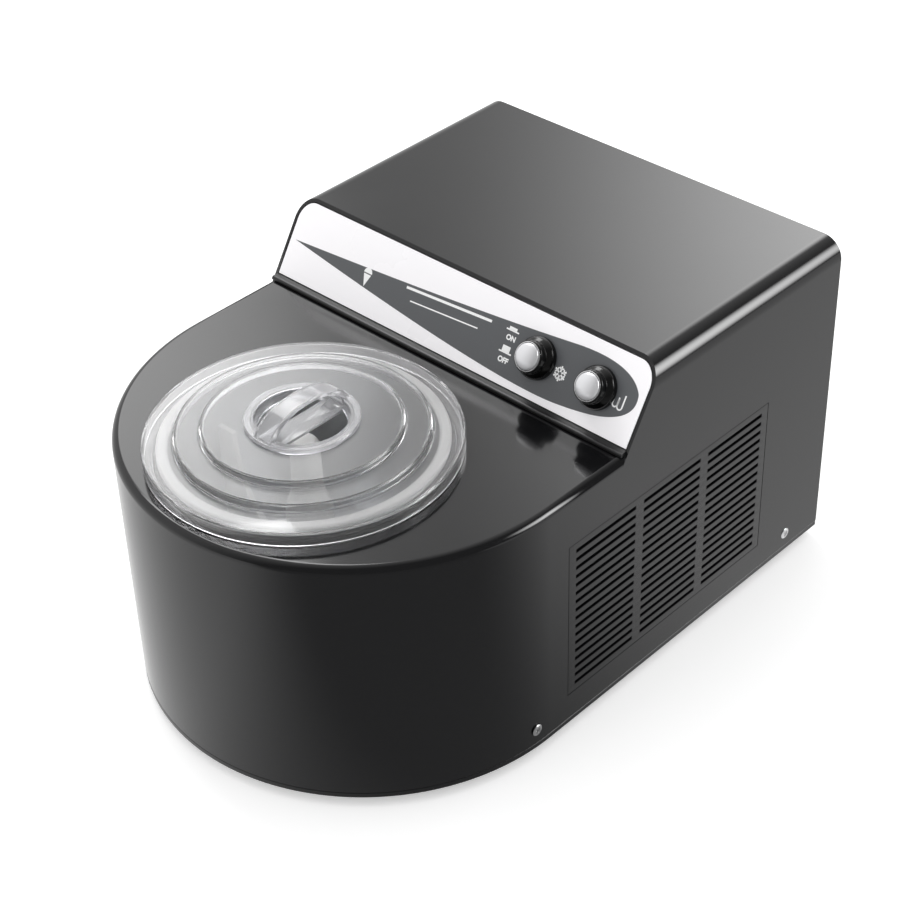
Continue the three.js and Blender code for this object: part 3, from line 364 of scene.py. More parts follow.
bright_steel = finish("bright_steel", (0.72, 0.72, 0.73), 0.22, 0.1, metal=1.0, lines=True, bump=0.05)
zinc_steel = finish("zinc_steel", (0.55, 0.56, 0.57), 0.35, 0.2, metal=1.0, grain=400, bump=0.05)
white_plastic = finish("white_plastic", (0.86, 0.86, 0.84), 0.38, 0.1, grain=1400, bump=0.05)
bowl_aluminium = finish("bowl_aluminium", (0.78, 0.79, 0.8), 0.32, 0.1, metal=1.0, lines=True, bump=0.06)
plain_aluminium = finish("plain_aluminium", (0.7, 0.71, 0.72), 0.35, 0.1, metal=1.0, lines=True, bump=0.1)
black_enamel = finish("black_enamel", (0.012, 0.012, 0.014), 0.35, 0.15, grain=300, bump=0.12)
copper_tube = finish("copper_tube", (0.72, 0.38, 0.24), 0.3, 0.2, metal=1.0, grain=500, bump=0.05)
belt_rubber = finish("belt_rubber", (0.02, 0.02, 0.02), 0.7, 0.1, grain=1600, bump=0.2)
grey_plastic = finish("grey_plastic", (0.3, 0.31, 0.32), 0.45, 0.1, grain=1400, bump=0.08)
foam_jacket = finish("foam_jacket", (0.8, 0.76, 0.68), 0.9, 0.1, grain=450, bump=0.5)
clear_plastic = clear_finish("clear_plastic", (0.98, 0.98, 0.99), 0.04, 0.928)
frosted_plastic = clear_finish("frosted_plastic", (0.97, 0.97, 0.99), 0.12, 0.82)


# ---------- housing ----------
def plan(inset, back_extra=0.0, steps=96):
    """Plan of the machine: half round at the front, square at the back."""
    half = HALF_WIDTH - inset
    back = BACK - inset + back_extra
    return [(half, back), (-half, back), *arc(0, ARC_Y, half, 180, 360, steps)]


def tower_section(inset, bottom, steps=12):
    """Cross-section of the tall rear part, in X and Z."""
    half = HALF_WIDTH - inset
    radius = TOP_EDGE_RADIUS - inset
    centre = TOP - TOP_EDGE_RADIUS
    return [
        (half, bottom),
        *arc(half - radius, centre, radius, 0, 90, steps),
        *arc(radius - half, centre, radius, 90, 180, steps),
        (-half, bottom),
    ]


def low_body(name, inset, bottom, back_extra):
    top = DECK - inset
    piece = slab(name, [(x, y, bottom) for x, y in plan(inset, back_extra)], (0, 0, top - bottom))
    pick(piece)
    bpy.ops.object.mode_set(mode="EDIT")
    bpy.ops.mesh.select_mode(type="EDGE")
    bpy.ops.mesh.select_all(action="DESELECT")
    bpy.ops.object.mode_set(mode="OBJECT")
    for edge in piece.data.edges:
        ends = [piece.data.vertices[v].co for v in edge.vertices]
        edge.select = all(abs(end.z - top) < GAP for end in ends)
    bpy.ops.object.mode_set(mode="EDIT")
    bpy.ops.mesh.bevel(offset=DECK_EDGE_RADIUS - inset, segments=8, affect="EDGES")
    bpy.ops.mesh.select_mode(type="VERT")
    bpy.ops.object.mode_set(mode="OBJECT")
    return piece


def bisect(piece, point, normal):
    """Cuts the piece through by a plane and drops the side that the normal points to."""
    pick(piece)
    bpy.ops.object.mode_set(mode="EDIT")
    bpy.ops.mesh.select_all(action="SELECT")
    bpy.ops.mesh.bisect(plane_co=point, plane_no=normal, use_fill=True, clear_outer=True)
    bpy.ops.object.mode_set(mode="OBJECT")


def tower(name, inset, bottom, y0, y1):
    return slab(name, [(x, y0, z) for x, z in tower_section(inset, bottom)], (0, y1 - y0, 0))


def side_screw_places():
    low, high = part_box("side_screw_right_front")
    rear_low, rear_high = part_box("side_screw_right_rear")
    return [((low.y + high.y) / 2, (low.z + high.z) / 2), ((rear_low.y + rear_high.y) / 2, (low.z + high.z) / 2)]


def housing_shell():
    shell = low_body("shell", 0, SHELL_BOTTOM, 0)
    rear = tower("rear_upper", 0, SHELL_BOTTOM + 20 * MM, TOE_Y - 5 * MM, BACK)
    bisect(rear, (0, TOE_Y, DECK), (0, -math.cos(LEAN), math.sin(LEAN)))
    combine(shell, rear, "UNION")
    combine(shell, low_body("low_hollow", WALL, SHELL_BOTTOM - 5 * MM, 10 * MM), "DIFFERENCE")
    combine(shell, tower("rear_hollow", WALL, SHELL_BOTTOM - 5 * MM, TOE_Y + 3 * MM, BACK + 10 * MM), "DIFFERENCE")
    combine(shell, tower("mouth", WALL, DECK, TOE_Y - 40 * MM, BACK + 10 * MM), "DIFFERENCE")
    hole = drum("deck_hole", DECK_HOLE_RADIUS, DECK - 10 * MM, DECK + 10 * MM, (0, BOWL_Y), FINE)
    combine(shell, hole, "DIFFERENCE")
    for side in (-1, 1):
        low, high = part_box("vent_grille_right")
        inner, outer = sorted((side * (HALF_WIDTH - 6 * MM), side * (HALF_WIDTH + 5 * MM)))
        flange = 4 * MM
        combine(
            shell,
            block("vent_opening", (inner, low.y + flange, low.z + flange), (outer, high.y - flange, high.z - flange)),
            "DIFFERENCE",
        )
        for y, z in side_screw_places():
            bore = drum("screw_bore", 2.3 * MM, -10 * MM, 10 * MM, steps=24)
            turn = Matrix.Rotation(math.pi / 2, 4, "Y")
            combine(shell, set_down(bore, Matrix.Translation((side * HALF_WIDTH, y, z)) @ turn), "DIFFERENCE")
    smooth(shell, 40)
    return seat(shell, "root", "housing_black", housing_black, "housing_shell")


def base_tray():
    low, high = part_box("base_tray")
    rim_top = SHELL_BOTTOM - GAP
    tray = slab("base_plate", [(x, y, low.z) for x, y in plan(0)], (0, 0, rim_top - low.z), 0.5 * MM)
    upstand = slab("upstand", [(x, y, rim_top - MM) for x, y in plan(WALL + GAP)], (0, 0, high.z - rim_top + MM))
    inner = slab("upstand_inside", [(x, y, rim_top - 2 * MM) for x, y in plan(WALL + GAP + 1.6 * MM, 10 * MM)],
                 (0, 0, high.z - rim_top + 5 * MM))
    combine(upstand, inner, "DIFFERENCE")
    combine(tray, upstand, "UNION")
    vent_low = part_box("vent_grille_right")[0]
    for row in range(6):
        y = vent_low.y + 24 * MM + row * 18 * MM
        slot = block("air_slot", (HALF_WIDTH - 95 * MM, y, low.z - 5 * MM),
                     (HALF_WIDTH - 20 * MM, y + 6 * MM, rim_top + 5 * MM))
        combine(tray, slot, "DIFFERENCE")
    smooth(tray, 40)
    return seat(tray, "root", "trim_black", trim_black, "base_tray")


def foot(node):
    low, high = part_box(node)
    centre = (low + high) / 2
    radius = (high.x - low.x) / 2
    piece = turned(node + "_rubber", [
        (0, 1.5 * MM), (4 * MM, 1.5 * MM), (4 * MM, 0), (radius - 1.5 * MM, 0), (radius - 0.6 * MM, 1.2 * MM),
        (radius - 0.4 * MM, 4 * MM), (radius, high.z - 1.2 * MM), (radius, high.z), (0, high.z),
    ], steps=64, edge=0.4 * MM, at=(centre.x, centre.y))
    return seat(piece, "root", "foot_rubber", foot_rubber, node)


# ---------- side vents ----------
VENT_COLUMNS, VENT_ROWS = 3, 17
VENT_BAR, VENT_LAND, VENT_SLOT = 7.5 * MM, 6.5 * MM, 2.5 * MM
VENT_FLANGE = 4 * MM


def vent_grille(node, side):
    """A louvred insert: a back plate with a flange behind the wall, and a raised field that fills the opening."""
    low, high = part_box(node)
    y0, y1 = low.y + VENT_FLANGE, high.y - VENT_FLANGE
    z0, z1 = low.z + VENT_FLANGE, high.z - VENT_FLANGE
    column = (y1 - y0 - 2 * VENT_LAND - (VENT_COLUMNS - 1) * VENT_BAR) / VENT_COLUMNS
    pitch = (z1 - z0) / (VENT_ROWS + 1)
    slots_y = [y0 + VENT_LAND + i * (column + VENT_BAR) for i in range(VENT_COLUMNS)]
    slots_z = [z0 + (row + 1) * pitch - VENT_SLOT / 2 for row in range(VENT_ROWS)]
    back = 3.9 * MM
    deselect()
    bpy.ops.mesh.primitive_plane_add(size=1, location=(0, (y0 + y1) / 2, (z0 + z1) / 2),
                                     rotation=(0, math.pi / 2, 0))
    piece = bpy.context.object
    piece.name = node + "_louvres"
    piece.scale = (high.z - low.z, high.y - low.y, 1)
    bpy.ops.object.transform_apply(location=True, rotation=True, scale=True)
    bpy.ops.object.mode_set(mode="EDIT")
    cuts_y = [y0 + GAP, y1 - GAP, *slots_y, *[y + column for y in slots_y]]
    cuts_z = [z0 + GAP, z1 - GAP, *slots_z, *[z + VENT_SLOT for z in slots_z]]
    for y in cuts_y:
        bpy.ops.mesh.select_all(action="SELECT")
        bpy.ops.mesh.bisect(plane_co=(0, y, 0), plane_no=(0, 1, 0))
    for z in cuts_z:
        bpy.ops.mesh.select_all(action="SELECT")
        bpy.ops.mesh.bisect(plane_co=(0, 0, z), plane_no=(0, 0, 1))
    bpy.ops.mesh.select_mode(type="FACE")

    def mark(wanted):
        bpy.ops.mesh.select_all(action="DESELECT")
        bpy.ops.object.mode_set(mode="OBJECT")
        for face in piece.data.polygons:
            face.select = wanted(face)
        bpy.ops.object.mode_set(mode="EDIT")

    def in_slot(face):
        in_column = any(y < face.center.y < y + column for y in slots_y)
        return in_column and any(z < face.center.z < z + VENT_SLOT for z in slots_z)

    def in_field(face):
        across = y0 < face.center.y < y1 and z0 < face.center.z < z1
        edge_y = min(abs(face.center.y - y0), abs(face.center.y - y1)) > GAP
        edge_z = min(abs(face.center.z - z0), abs(face.center.z - z1)) > GAP
        return face.center.x > -MM and across and edge_y and edge_z

    mark(in_slot)
    bpy.ops.mesh.delete(type="FACE")
    bpy.ops.mesh.select_all(action="SELECT")
    bpy.ops.mesh.normals_make_consistent(inside=False)
    bpy.ops.object.mode_set(mode="OBJECT")
    if piece.data.polygons[0].normal.x < 0:
        bpy.ops.object.mode_set(mode="EDIT")
        bpy.ops.mesh.flip_normals()
        bpy.ops.object.mode_set(mode="OBJECT")
    apply_modifier(piece, "SOLIDIFY", thickness=1.6 * MM, offset=-1)
    bpy.ops.object.mode_set(mode="EDIT")
    mark(in_field)
    bpy.ops.mesh.extrude_region_move(TRANSFORM_OT_translate={"value": (back - 1.6 * MM, 0, 0)})
    face_outwards()
    bpy.ops.mesh.select_mode(type="VERT")
    bpy.ops.object.mode_set(mode="OBJECT")
    piece.location.x = HALF_WIDTH - (back - 1.6 * MM)
    bpy.ops.object.transform_apply(location=True, rotation=True, scale=True)
    round_edges(piece, 0.35 * MM, 2, angle=60)
    if side < 0:
        pick(piece)
        piece.scale.x = -1
        bpy.ops.object.transform_apply(location=True, rotation=True, scale=True)
        bpy.ops.object.mode_set(mode="EDIT")
        face_outwards()
        bpy.ops.object.mode_set(mode="OBJECT")
        smooth(piece)
    return seat(piece, "root", "housing_black", housing_black, node)


# ---------- screws ----------
def screw(name, grip, matrix, node):
    """A pan-head screw with a cross recess, its head up along local Z and its seat at the origin."""
    head = 3.8 * MM
    rise = (0.9 * MM, 0.75 * MM)
    piece = turned(name, [
        (0, -grip), (1.4 * MM, -grip), (2 * MM, -grip + MM), (2 * MM, 0), (head, 0), (head, 0.25 * MM),
        (3.3 * MM, 0.6 * MM), (2.4 * MM, rise[1] + 0.1 * MM), (0, rise[0]),
    ], steps=48, edge=0.12 * MM)
    for turn in (0, math.pi / 2):
        wing = block("recess", (-1.9 * MM, -0.4 * MM, -1.2 * MM), (1.9 * MM, 0.4 * MM, 2 * MM))
        combine(piece, set_down(wing, Matrix.Rotation(turn + math.pi / 4, 4, "Z")), "DIFFERENCE")
    smooth(piece)
    set_down(piece, matrix)
    return seat(piece, "root", "bright_steel", bright_steel, node)


def all_screws():
    for side_name, side in (("right", 1), ("left", -1)):
        for (y, z), end in zip(side_screw_places(), ("front", "rear")):
            matrix = Matrix.Translation((side * (HALF_WIDTH + 0.02 * MM), y, z)) @ Matrix.Rotation(side * math.pi / 2, 4, "Y")
            node = f"side_screw_{side_name}_{end}"
            screw(node + "_head", 8 * MM, matrix, node)
    for place in ("low_left", "low_right", "high_left", "high_right"):
        node = f"rear_screw_{place}"
        low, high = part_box(node)
        matrix = Matrix.Translation(((low.x + high.x) / 2, high.y - MM, (low.z + high.z) / 2))
        screw(node + "_head", 7 * MM, matrix @ Matrix.Rotation(-math.pi / 2, 4, "X"), node)


# ---------- rear ----------
def pill(width, height, steps=8):
    """A slot outline with round ends, about the origin."""
    radius = height / 2
    reach = width / 2 - radius
    return [*arc(reach, 0, radius, -90, 90, steps), *arc(-reach, 0, radius, 90, 270, steps)]


def rear_panel():
    low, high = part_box("rear_panel")
    panel = tower("rear_cover", WALL + GAP, low.z, low.y, high.y)
    inlet_low, inlet_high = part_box("power_inlet")
    centre = (inlet_low + inlet_high) / 2
    window = block("inlet_window", (centre.x - 14 * MM, BACK - 20 * MM, centre.z - 10.3 * MM),
                   (centre.x + 14 * MM, BACK + 5 * MM, centre.z + 10.3 * MM))
    combine(panel, window, "DIFFERENCE")
    slot_low = 92 * MM
    for x0 in (-84 * MM, 6 * MM):
        shape = [(x0 + 39 * MM + x, BACK - 20 * MM, slot_low + 1.5 * MM + z) for x, z in pill(78 * MM, 3 * MM)]
        slots = slab("air_slots", shape, (0, 25 * MM, 0))
        apply_modifier(slots, "ARRAY", count=8, use_relative_offset=False, use_constant_offset=True,
                       constant_offset_displace=(0, 0, 12 * MM))
        combine(panel, slots, "DIFFERENCE")
    round_edges(panel, 0.3 * MM, 2, angle=50)
    return seat(panel, "root", "trim_black", trim_black, "rear_panel")


def power_inlet():
    low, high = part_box("power_inlet")
    centre = (low + high) / 2
    face = high.y - MM

    def rounded(half_x, half_z, radius, y):
        corners = [(1, 1, 0), (-1, 1, 90), (-1, -1, 180), (1, -1, 270)]
        points = []
        for sx, sz, start in corners:
            points += arc(centre.x + sx * (half_x - radius), centre.z + sz * (half_z - radius), radius,
                          start, start + 90, 5)
        return [(x, y, z) for x, z in points]

    half_x, half_z = (high.x - low.x) / 2, (high.z - low.z) / 2
    socket_body = slab("inlet_socket", rounded(half_x, half_z, 3 * MM, face), (0, MM, 0), 0.3 * MM)
    body = slab("inlet_body", rounded(half_x - 5 * MM, half_z - 2.5 * MM, MM, low.y), (0, face - low.y + 0.5 * MM, 0))
    combine(socket_body, body, "UNION")
    mouth = slab("mouth", rounded(half_x - 7 * MM, half_z - 4.5 * MM, 2 * MM, BACK - 20 * MM), (0, 25 * MM, 0))
    combine(socket_body, mouth, "DIFFERENCE")
    smooth(socket_body)
    seat(socket_body, "root", "trim_black", trim_black, "power_inlet")
    for dx, dz, label in ((-7, -1, "left"), (0, 2.5, "earth"), (7, -1, "right")):
        pin = block(f"inlet_pin_{label}", (centre.x + (dx - 1) * MM, BACK - 19.8 * MM, centre.z + (dz - 2) * MM),
                    (centre.x + (dx + 1) * MM, BACK - 6 * MM, centre.z + (dz + 2) * MM), 0.5 * MM)
        seat(pin, "root", "bright_steel", bright_steel)


# ---------- control fascia ----------
def slope_outline(inset, bottom_up):
    """The tower's section laid on the slope: across and up the slope."""
    points = [(x, (z - DECK) / math.cos(LEAN)) for x, z in tower_section(inset, DECK)]
    return [(x, max(up, bottom_up)) for x, up in points]


def on_slope(piece, across=0.0, up=0.0):
    return set_down(piece, SLOPE @ Matrix.Translation((across, up, 0)))


def control_fascia():
    panel_back, panel_face = -3.3 * MM, -0.8 * MM
    points = [(x, up, panel_back) for x, up in slope_outline(WALL + GAP, 2.4 * MM)]
    panel = on_slope(slab("fascia_panel", points, (0, 0, panel_face - panel_back)))
    lip_bottom = DECK + GAP
    lip_top = lip_bottom + 2.6 * MM
    lean = math.tan(LEAN)
    nose = [(TOE_Y - 3 * MM, lip_bottom),
            *curve_through((TOE_Y - 3.2 * MM, lip_bottom + 0.4 * MM), (TOE_Y - 3.3 * MM, lip_top - 0.1 * MM),
                           (TOE_Y - 1.4 * MM, lip_top), 8)]
    section = [
        *nose,
        (TOE_Y - 1.4 * MM, lip_top),
        (TOE_Y + (lip_top - DECK) * lean - GAP, lip_top),
        (TOE_Y + GAP * lean - GAP, lip_bottom),
    ]
    lip_half = HALF_WIDTH - 1.5 * MM
    lip = slab("fascia_lip", [(-lip_half, y, z) for y, z in section], (2 * lip_half, 0, 0), 0.3 * MM, 2)
    web = [(TOE_Y + GAP * lean - 0.8 * MM, lip_bottom), (TOE_Y + 3 * MM, lip_bottom),
           (TOE_Y + (lip_top - DECK) * lean + 3 * MM, lip_top),
           (TOE_Y + (lip_top - DECK) * lean - 0.8 * MM, lip_top)]
    half = HALF_WIDTH - WALL - GAP
    web_bar = slab("web", [(-half, y, z) for y, z in web], (2 * half, 0, 0))
    combine(lip, web_bar, "UNION")
    combine(panel, lip, "UNION")
    for across in BUTTON_ACROSS.values():
        bore = on_slope(drum("bore", BUTTON_RADIUS + 0.7 * MM, -20 * MM, 20 * MM), across, BUTTON_UP)
        combine(panel, bore, "DIFFERENCE")
    smooth(panel)
    return seat(panel, "root", "trim_black", trim_black, "control_fascia")


LABEL_BOTTOM = 4.1 * MM


def fascia_label():
    points = [(x, up, -0.5 * MM) for x, up in slope_outline(WALL + 2 * GAP, LABEL_BOTTOM)]
    label = on_slope(slab("label_plate", points, (0, 0, 0.5 * MM)))
    for across in BUTTON_ACROSS.values():
        bore = on_slope(drum("bore", BUTTON_RADIUS + 0.9 * MM, -20 * MM, 20 * MM), across, BUTTON_UP)
        combine(label, bore, "DIFFERENCE")
    round_edges(label, 0.12 * MM, 2, angle=50)
    return seat(label, "root", "label_silver", label_silver, "fascia_label")


INLAY = 0.05 * MM


def printed(name, points, level=1):
    """A flat printed shape on the label, as a very thin layer: level 1 lies on the label, level 2 on the leaf."""
    base = INLAY * (level - 1)
    return slab(name, [(x * MM, up * MM, base + 0.01 * MM) for x, up in points], (0, 0, INLAY))


def leaf():
    tip = (-138.5, 28)
    upper_edge = curve_through(tip, (10, 37), (88, 46), 32)
    nose_top = curve_through((88, 46), (128, 50), (137.5, 35), 20)
    nose_side = curve_through((137.5, 35), (141.5, 22), (122, 15.2), 20)
    nose_low = curve_through((122, 15.2), (112, 11.5), (88, 9.2), 12)
    lower_edge = curve_through((88, 9.2), (40, 4.5), tip, 40)
    points = upper_edge + nose_top + nose_side + nose_low + lower_edge
    shape = printed("label_leaf", points)
    on_slope(shape)
    for across in BUTTON_ACROSS.values():
        bore = on_slope(drum("bore", BUTTON_RADIUS + 0.9 * MM, -20 * MM, 20 * MM), across, BUTTON_UP)
        combine(shape, bore, "DIFFERENCE")
    return seat(shape, "root", "label_silver", leaf_grey)


def print_on_leaf(name, shapes):
    """Several outlines joined into one printed sign."""
    parts = [on_slope(printed(name if i == 0 else f"{name}_{i}", shape, 2)) for i, shape in enumerate(shapes)]
    pick(parts[0])
    for part in parts[1:]:
        part.select_set(True)
    if len(parts) > 1:
        bpy.ops.object.join()
    return seat(parts[0], "root", "label_silver", print_white)


def bar_between(x0, y0, x1, y1, width):
    """A straight stroke with square ends."""
    length = math.hypot(x1 - x0, y1 - y0)
    nx, ny = (y0 - y1) / length * width / 2, (x1 - x0) / length * width / 2
    return [(x0 + nx, y0 + ny), (x0 - nx, y0 - ny), (x1 - nx, y1 - ny), (x1 + nx, y1 + ny)]


def snowflake():
    cx, cy, radius = 83.5, 26.0, 4.6
    strokes = []
    for k in range(6):
        a = math.radians(60 * k + 30)
        ex, ey = cx + radius * math.cos(a), cy + radius * math.sin(a)
        strokes.append(bar_between(cx + 1.0 * math.cos(a), cy + 1.0 * math.sin(a), ex, ey, 1.1))
        for turn in (-60, 60):
            b = a + math.radians(turn)
            mx, my = cx + 0.55 * radius * math.cos(a), cy + 0.55 * radius * math.sin(a)
            strokes.append(bar_between(mx, my, mx + 1.9 * math.cos(b), my + 1.9 * math.sin(b), 0.9))
    return print_on_leaf("snowflake_sign", strokes)


def paddle_sign():
    """Two nested hooks, for the mixing paddle."""
    strokes = []
    for x, low, left, right in ((125.0, 24.6, 2.2, 4.4), (128.6, 24.0, 4.4, 7.4)):
        bow = arc(x, low, 1.7, 180, 360, 8)
        for (x0, y0), (x1, y1) in zip(bow, bow[1:]):
            strokes.append(bar_between(x0, y0, x1, y1, 0.95))
        strokes.append(bar_between(x - 1.7, low, x - 1.7, low + left, 0.95))
        strokes.append(bar_between(x + 1.7, low, x + 1.7, low + right, 0.95))
    return print_on_leaf("paddle_sign", strokes)


def button_signs():
    """Push-button signs: a pressed cap over a line for ON, and a raised cap over a line for OFF."""
    for name, x, y, cap in (("on_sign", 42.4, 36.4, 1.8), ("off_sign", 42.4, 22.8, 3.8)):
        print_on_leaf(name, [
            bar_between(x - 4.8, y, x + 4.8, y, 0.9),
            [(x - 2.9, y + 0.3), (x + 2.9, y + 0.3), (x + 2.9, y + 0.3 + cap), (x - 2.9, y + 0.3 + cap)],
        ])


def words():
    for text, x, y in (("ON", 42.9, 32.0), ("OFF", 42.9, 18.4)):
        deselect()
        bpy.ops.object.text_add()
        word = bpy.context.object
        word.name = f"{text.lower()}_word"
        word.data.body = text
        word.data.size = 4.4 * MM
        word.data.align_x = "CENTER"
        word.data.offset = 0.2 * MM
        word.data.extrude = INLAY / 2
        bpy.ops.object.convert(target="MESH")
        word = bpy.context.object
        bpy.ops.object.mode_set(mode="EDIT")
        bpy.ops.mesh.select_all(action="SELECT")
        bpy.ops.mesh.remove_doubles(threshold=0.001 * MM)
        face_outwards()
        bpy.ops.object.mode_set(mode="OBJECT")
        set_down(word, SLOPE @ Matrix.Translation((x * MM, (y - 1.5) * MM, 1.7 * INLAY)))
        seat(word, "root", "label_silver", print_white)


def plain_stripes():
    """Plain stripes in the room where a maker would print a name, and a small cone sign before them."""
    print_on_leaf("wide_stripe", [bar_between(-42, 32.0, 26, 36.0, 1.6)])
    print_on_leaf("narrow_stripe", [bar_between(-36, 25.2, 18, 28.4, 0.8)])
    cx, cy = -74, 27.5
    scoop = [(cx + 3.4 * math.cos(math.radians(a)), cy + 1.6 + 3.4 * math.sin(math.radians(a)))
             for a in range(0, 181, 15)]
    cone = [(cx - 3.0, cy + 0.9), (cx + 3.0, cy + 0.9), (cx, cy - 7.0)]
    print_on_leaf("cone_sign", [scoop, cone])


def button(use):
    across = BUTTON_ACROSS[use]
    hole = BUTTON_RADIUS + 0.4 * MM
    neck = BUTTON_RADIUS + 1.8 * MM
    top = COLLAR_HEIGHT
    collar = turned(f"{use}_collar_rubber", [
        (hole, GAP), (13 * MM, GAP), (13 * MM, 2.4 * MM), (12.6 * MM, 3.8 * MM), (11.5 * MM, 5.2 * MM),
        (10.3 * MM, 6 * MM), (neck, 6.6 * MM), (neck, top - 0.6 * MM), (neck - 0.5 * MM, top), (hole, top),
    ], steps=96, edge=0.25 * MM)
    seat(on_slope(collar, across, BUTTON_UP), "root", "collar_black", collar_black, f"{use}_button_collar")
    bezel = turned(f"{use}_bezel", [
        (hole - 0.05 * MM, top + 0.02 * MM), (hole + 0.45 * MM, top + 0.02 * MM), (hole + 0.45 * MM, top + 0.2 * MM),
        (hole - 0.05 * MM, top + 0.35 * MM),
    ], steps=96, edge=0.05 * MM)
    seat(on_slope(bezel, across, BUTTON_UP), "root", "bright_steel", bright_steel)
    cap_top = top + BUTTON_TRAVEL
    shoulder = cap_top - 2.6 * MM
    dome = [(0, -14 * MM), (2.6 * MM, -14 * MM), (2.6 * MM, -4 * MM), (BUTTON_RADIUS, -4 * MM),
            (BUTTON_RADIUS, shoulder)]
    dome += [(BUTTON_RADIUS * math.cos(a), shoulder + (cap_top - shoulder) * math.sin(a))
             for a in (math.radians(step) for step in range(7, 90, 7))]
    dome.append((0, cap_top))
    cap = turned(f"{use}_cap", dome, steps=96, edge=0)
    seat(on_slope(cap, across, BUTTON_UP), f"{use}_button_body", "button_pearl", button_pearl, f"{use}_button")


# ---------- bowl, pot and lid ----------
def bowl_parts():
    at = (0, BOWL_Y)
    pot_low, pot_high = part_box("evaporator_pot")
    floor, rim = pot_low.z, pot_high.z
    inner, outer, flange_top = 81 * MM, 82.4 * MM, DECK - WALL - GAP
    pot = turned("pot_wall", [
        (7 * MM, floor), (outer - 6 * MM, floor), (outer - 1.8 * MM, floor + 1.8 * MM), (outer, floor + 6 * MM),
        (outer, flange_top - 1.5 * MM), (91.4 * MM, flange_top - 1.5 * MM), (91.4 * MM, flange_top),
        (outer, flange_top), (outer, rim), (inner, rim), (inner, floor + 6.4 * MM),
        (inner - 1.5 * MM, floor + 2.9 * MM), (inner - 5 * MM, floor + 1.4 * MM),
        (8.4 * MM, floor + 1.4 * MM), (8.4 * MM, floor + 31.4 * MM), (7 * MM, floor + 31.4 * MM),
    ], at=at)
    seat(pot, "root", "plain_aluminium", plain_aluminium, "evaporator_pot")
    seal_low, seal_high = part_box("deck_seal")
    seal = turned("seal_ring", [
        (outer + GAP, seal_low.z), (86.1 * MM, seal_low.z), (86.1 * MM, seal_high.z), (outer + GAP, seal_high.z),
    ], at=at, edge=0.6 * MM)
    seat(seal, "root", "foot_rubber", foot_rubber, "deck_seal")
    low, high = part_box("removable_bowl")
    wall_out, wall_in, rim_out = 79 * MM, 77.5 * MM, 83.9 * MM
    bowl_floor = low.z + 1.5 * MM
    tube_top = bowl_floor + 58 * MM
    bowl = turned("bowl_wall", [
        (9.4 * MM, low.z), (wall_out - 6 * MM, low.z), (wall_out - 1.8 * MM, low.z + 1.8 * MM),
        (wall_out, low.z + 6 * MM), (wall_out, high.z - 1.4 * MM), (rim_out, high.z - 1.4 * MM), (rim_out, high.z),
        (wall_in, high.z), (wall_in, bowl_floor + 5 * MM), (wall_in - 1.5 * MM, bowl_floor + 1.5 * MM),
        (wall_in - 5 * MM, bowl_floor), (10.8 * MM, bowl_floor), (10.8 * MM, tube_top), (9.4 * MM, tube_top),
    ], at=at)
    seat(bowl, "bowl_body", "bowl_aluminium", bowl_aluminium, "removable_bowl")
    ring_low, ring_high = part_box("bowl_rim_ring")
    ring = turned("rim_ring", [
        (77 * MM, ring_low.z), (rim_out, ring_low.z), (rim_out, ring_low.z + 1.2 * MM),
        (rim_out - MM, ring_high.z), (78.5 * MM, ring_high.z), (77 * MM, ring_low.z + 1.2 * MM),
    ], at=at, edge=0.5 * MM)
    seat(ring, "bowl_body", "white_plastic", white_plastic, "bowl_rim_ring")


def mixing_paddle():
    low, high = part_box("mixing_paddle")
    floor, top = low.z, high.z
    tube_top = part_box("removable_bowl")[0].z + 59.5 * MM
    hub = turned("paddle_hub", [
        (0, top), (6.5 * MM, top), (8.5 * MM, top - 3 * MM), (9.5 * MM, tube_top + 18 * MM),
        (14 * MM, tube_top + 6 * MM), (14 * MM, tube_top), (15 * MM, floor), (11.6 * MM, floor),
        (11.6 * MM, tube_top + 2 * MM), (6.3 * MM, tube_top + 2 * MM), (6.3 * MM, tube_top + 26 * MM),
        (0, tube_top + 26 * MM),
    ], steps=72, at=(0, BOWL_Y))
    reach = high.x
    blade_top = floor + 84 * MM
    for side in (1, -1):
        outline = [
            (13 * MM, floor), (reach - 5 * MM, floor), (reach - 1.5 * MM, floor + 1.5 * MM), (reach, floor + 5 * MM),
            (reach, blade_top), (reach - 13 * MM, blade_top),
            *curve_through((reach - 13 * MM, blade_top - 2 * MM), (reach - 17 * MM, floor + 17 * MM),
                           (13 * MM, floor + 22 * MM), 16)[1:],
            (13 * MM, floor + 22 * MM),
        ]
        points = [(side * x, BOWL_Y - 2 * MM, z) for x, z in outline]
        combine(hub, slab("blade", points, (0, 4 * MM, 0), 0.9 * MM), "UNION")
    smooth(hub)
    return seat(hub, "paddle_body", "white_plastic", white_plastic, "mixing_paddle")


STEP_ONE, STEP_TWO, INSERT_BODY, INSERT_RIM = 73.5 * MM, 58.3 * MM, 29.5 * MM, 33.4 * MM
HANDLE_WIDTH = 13 * MM


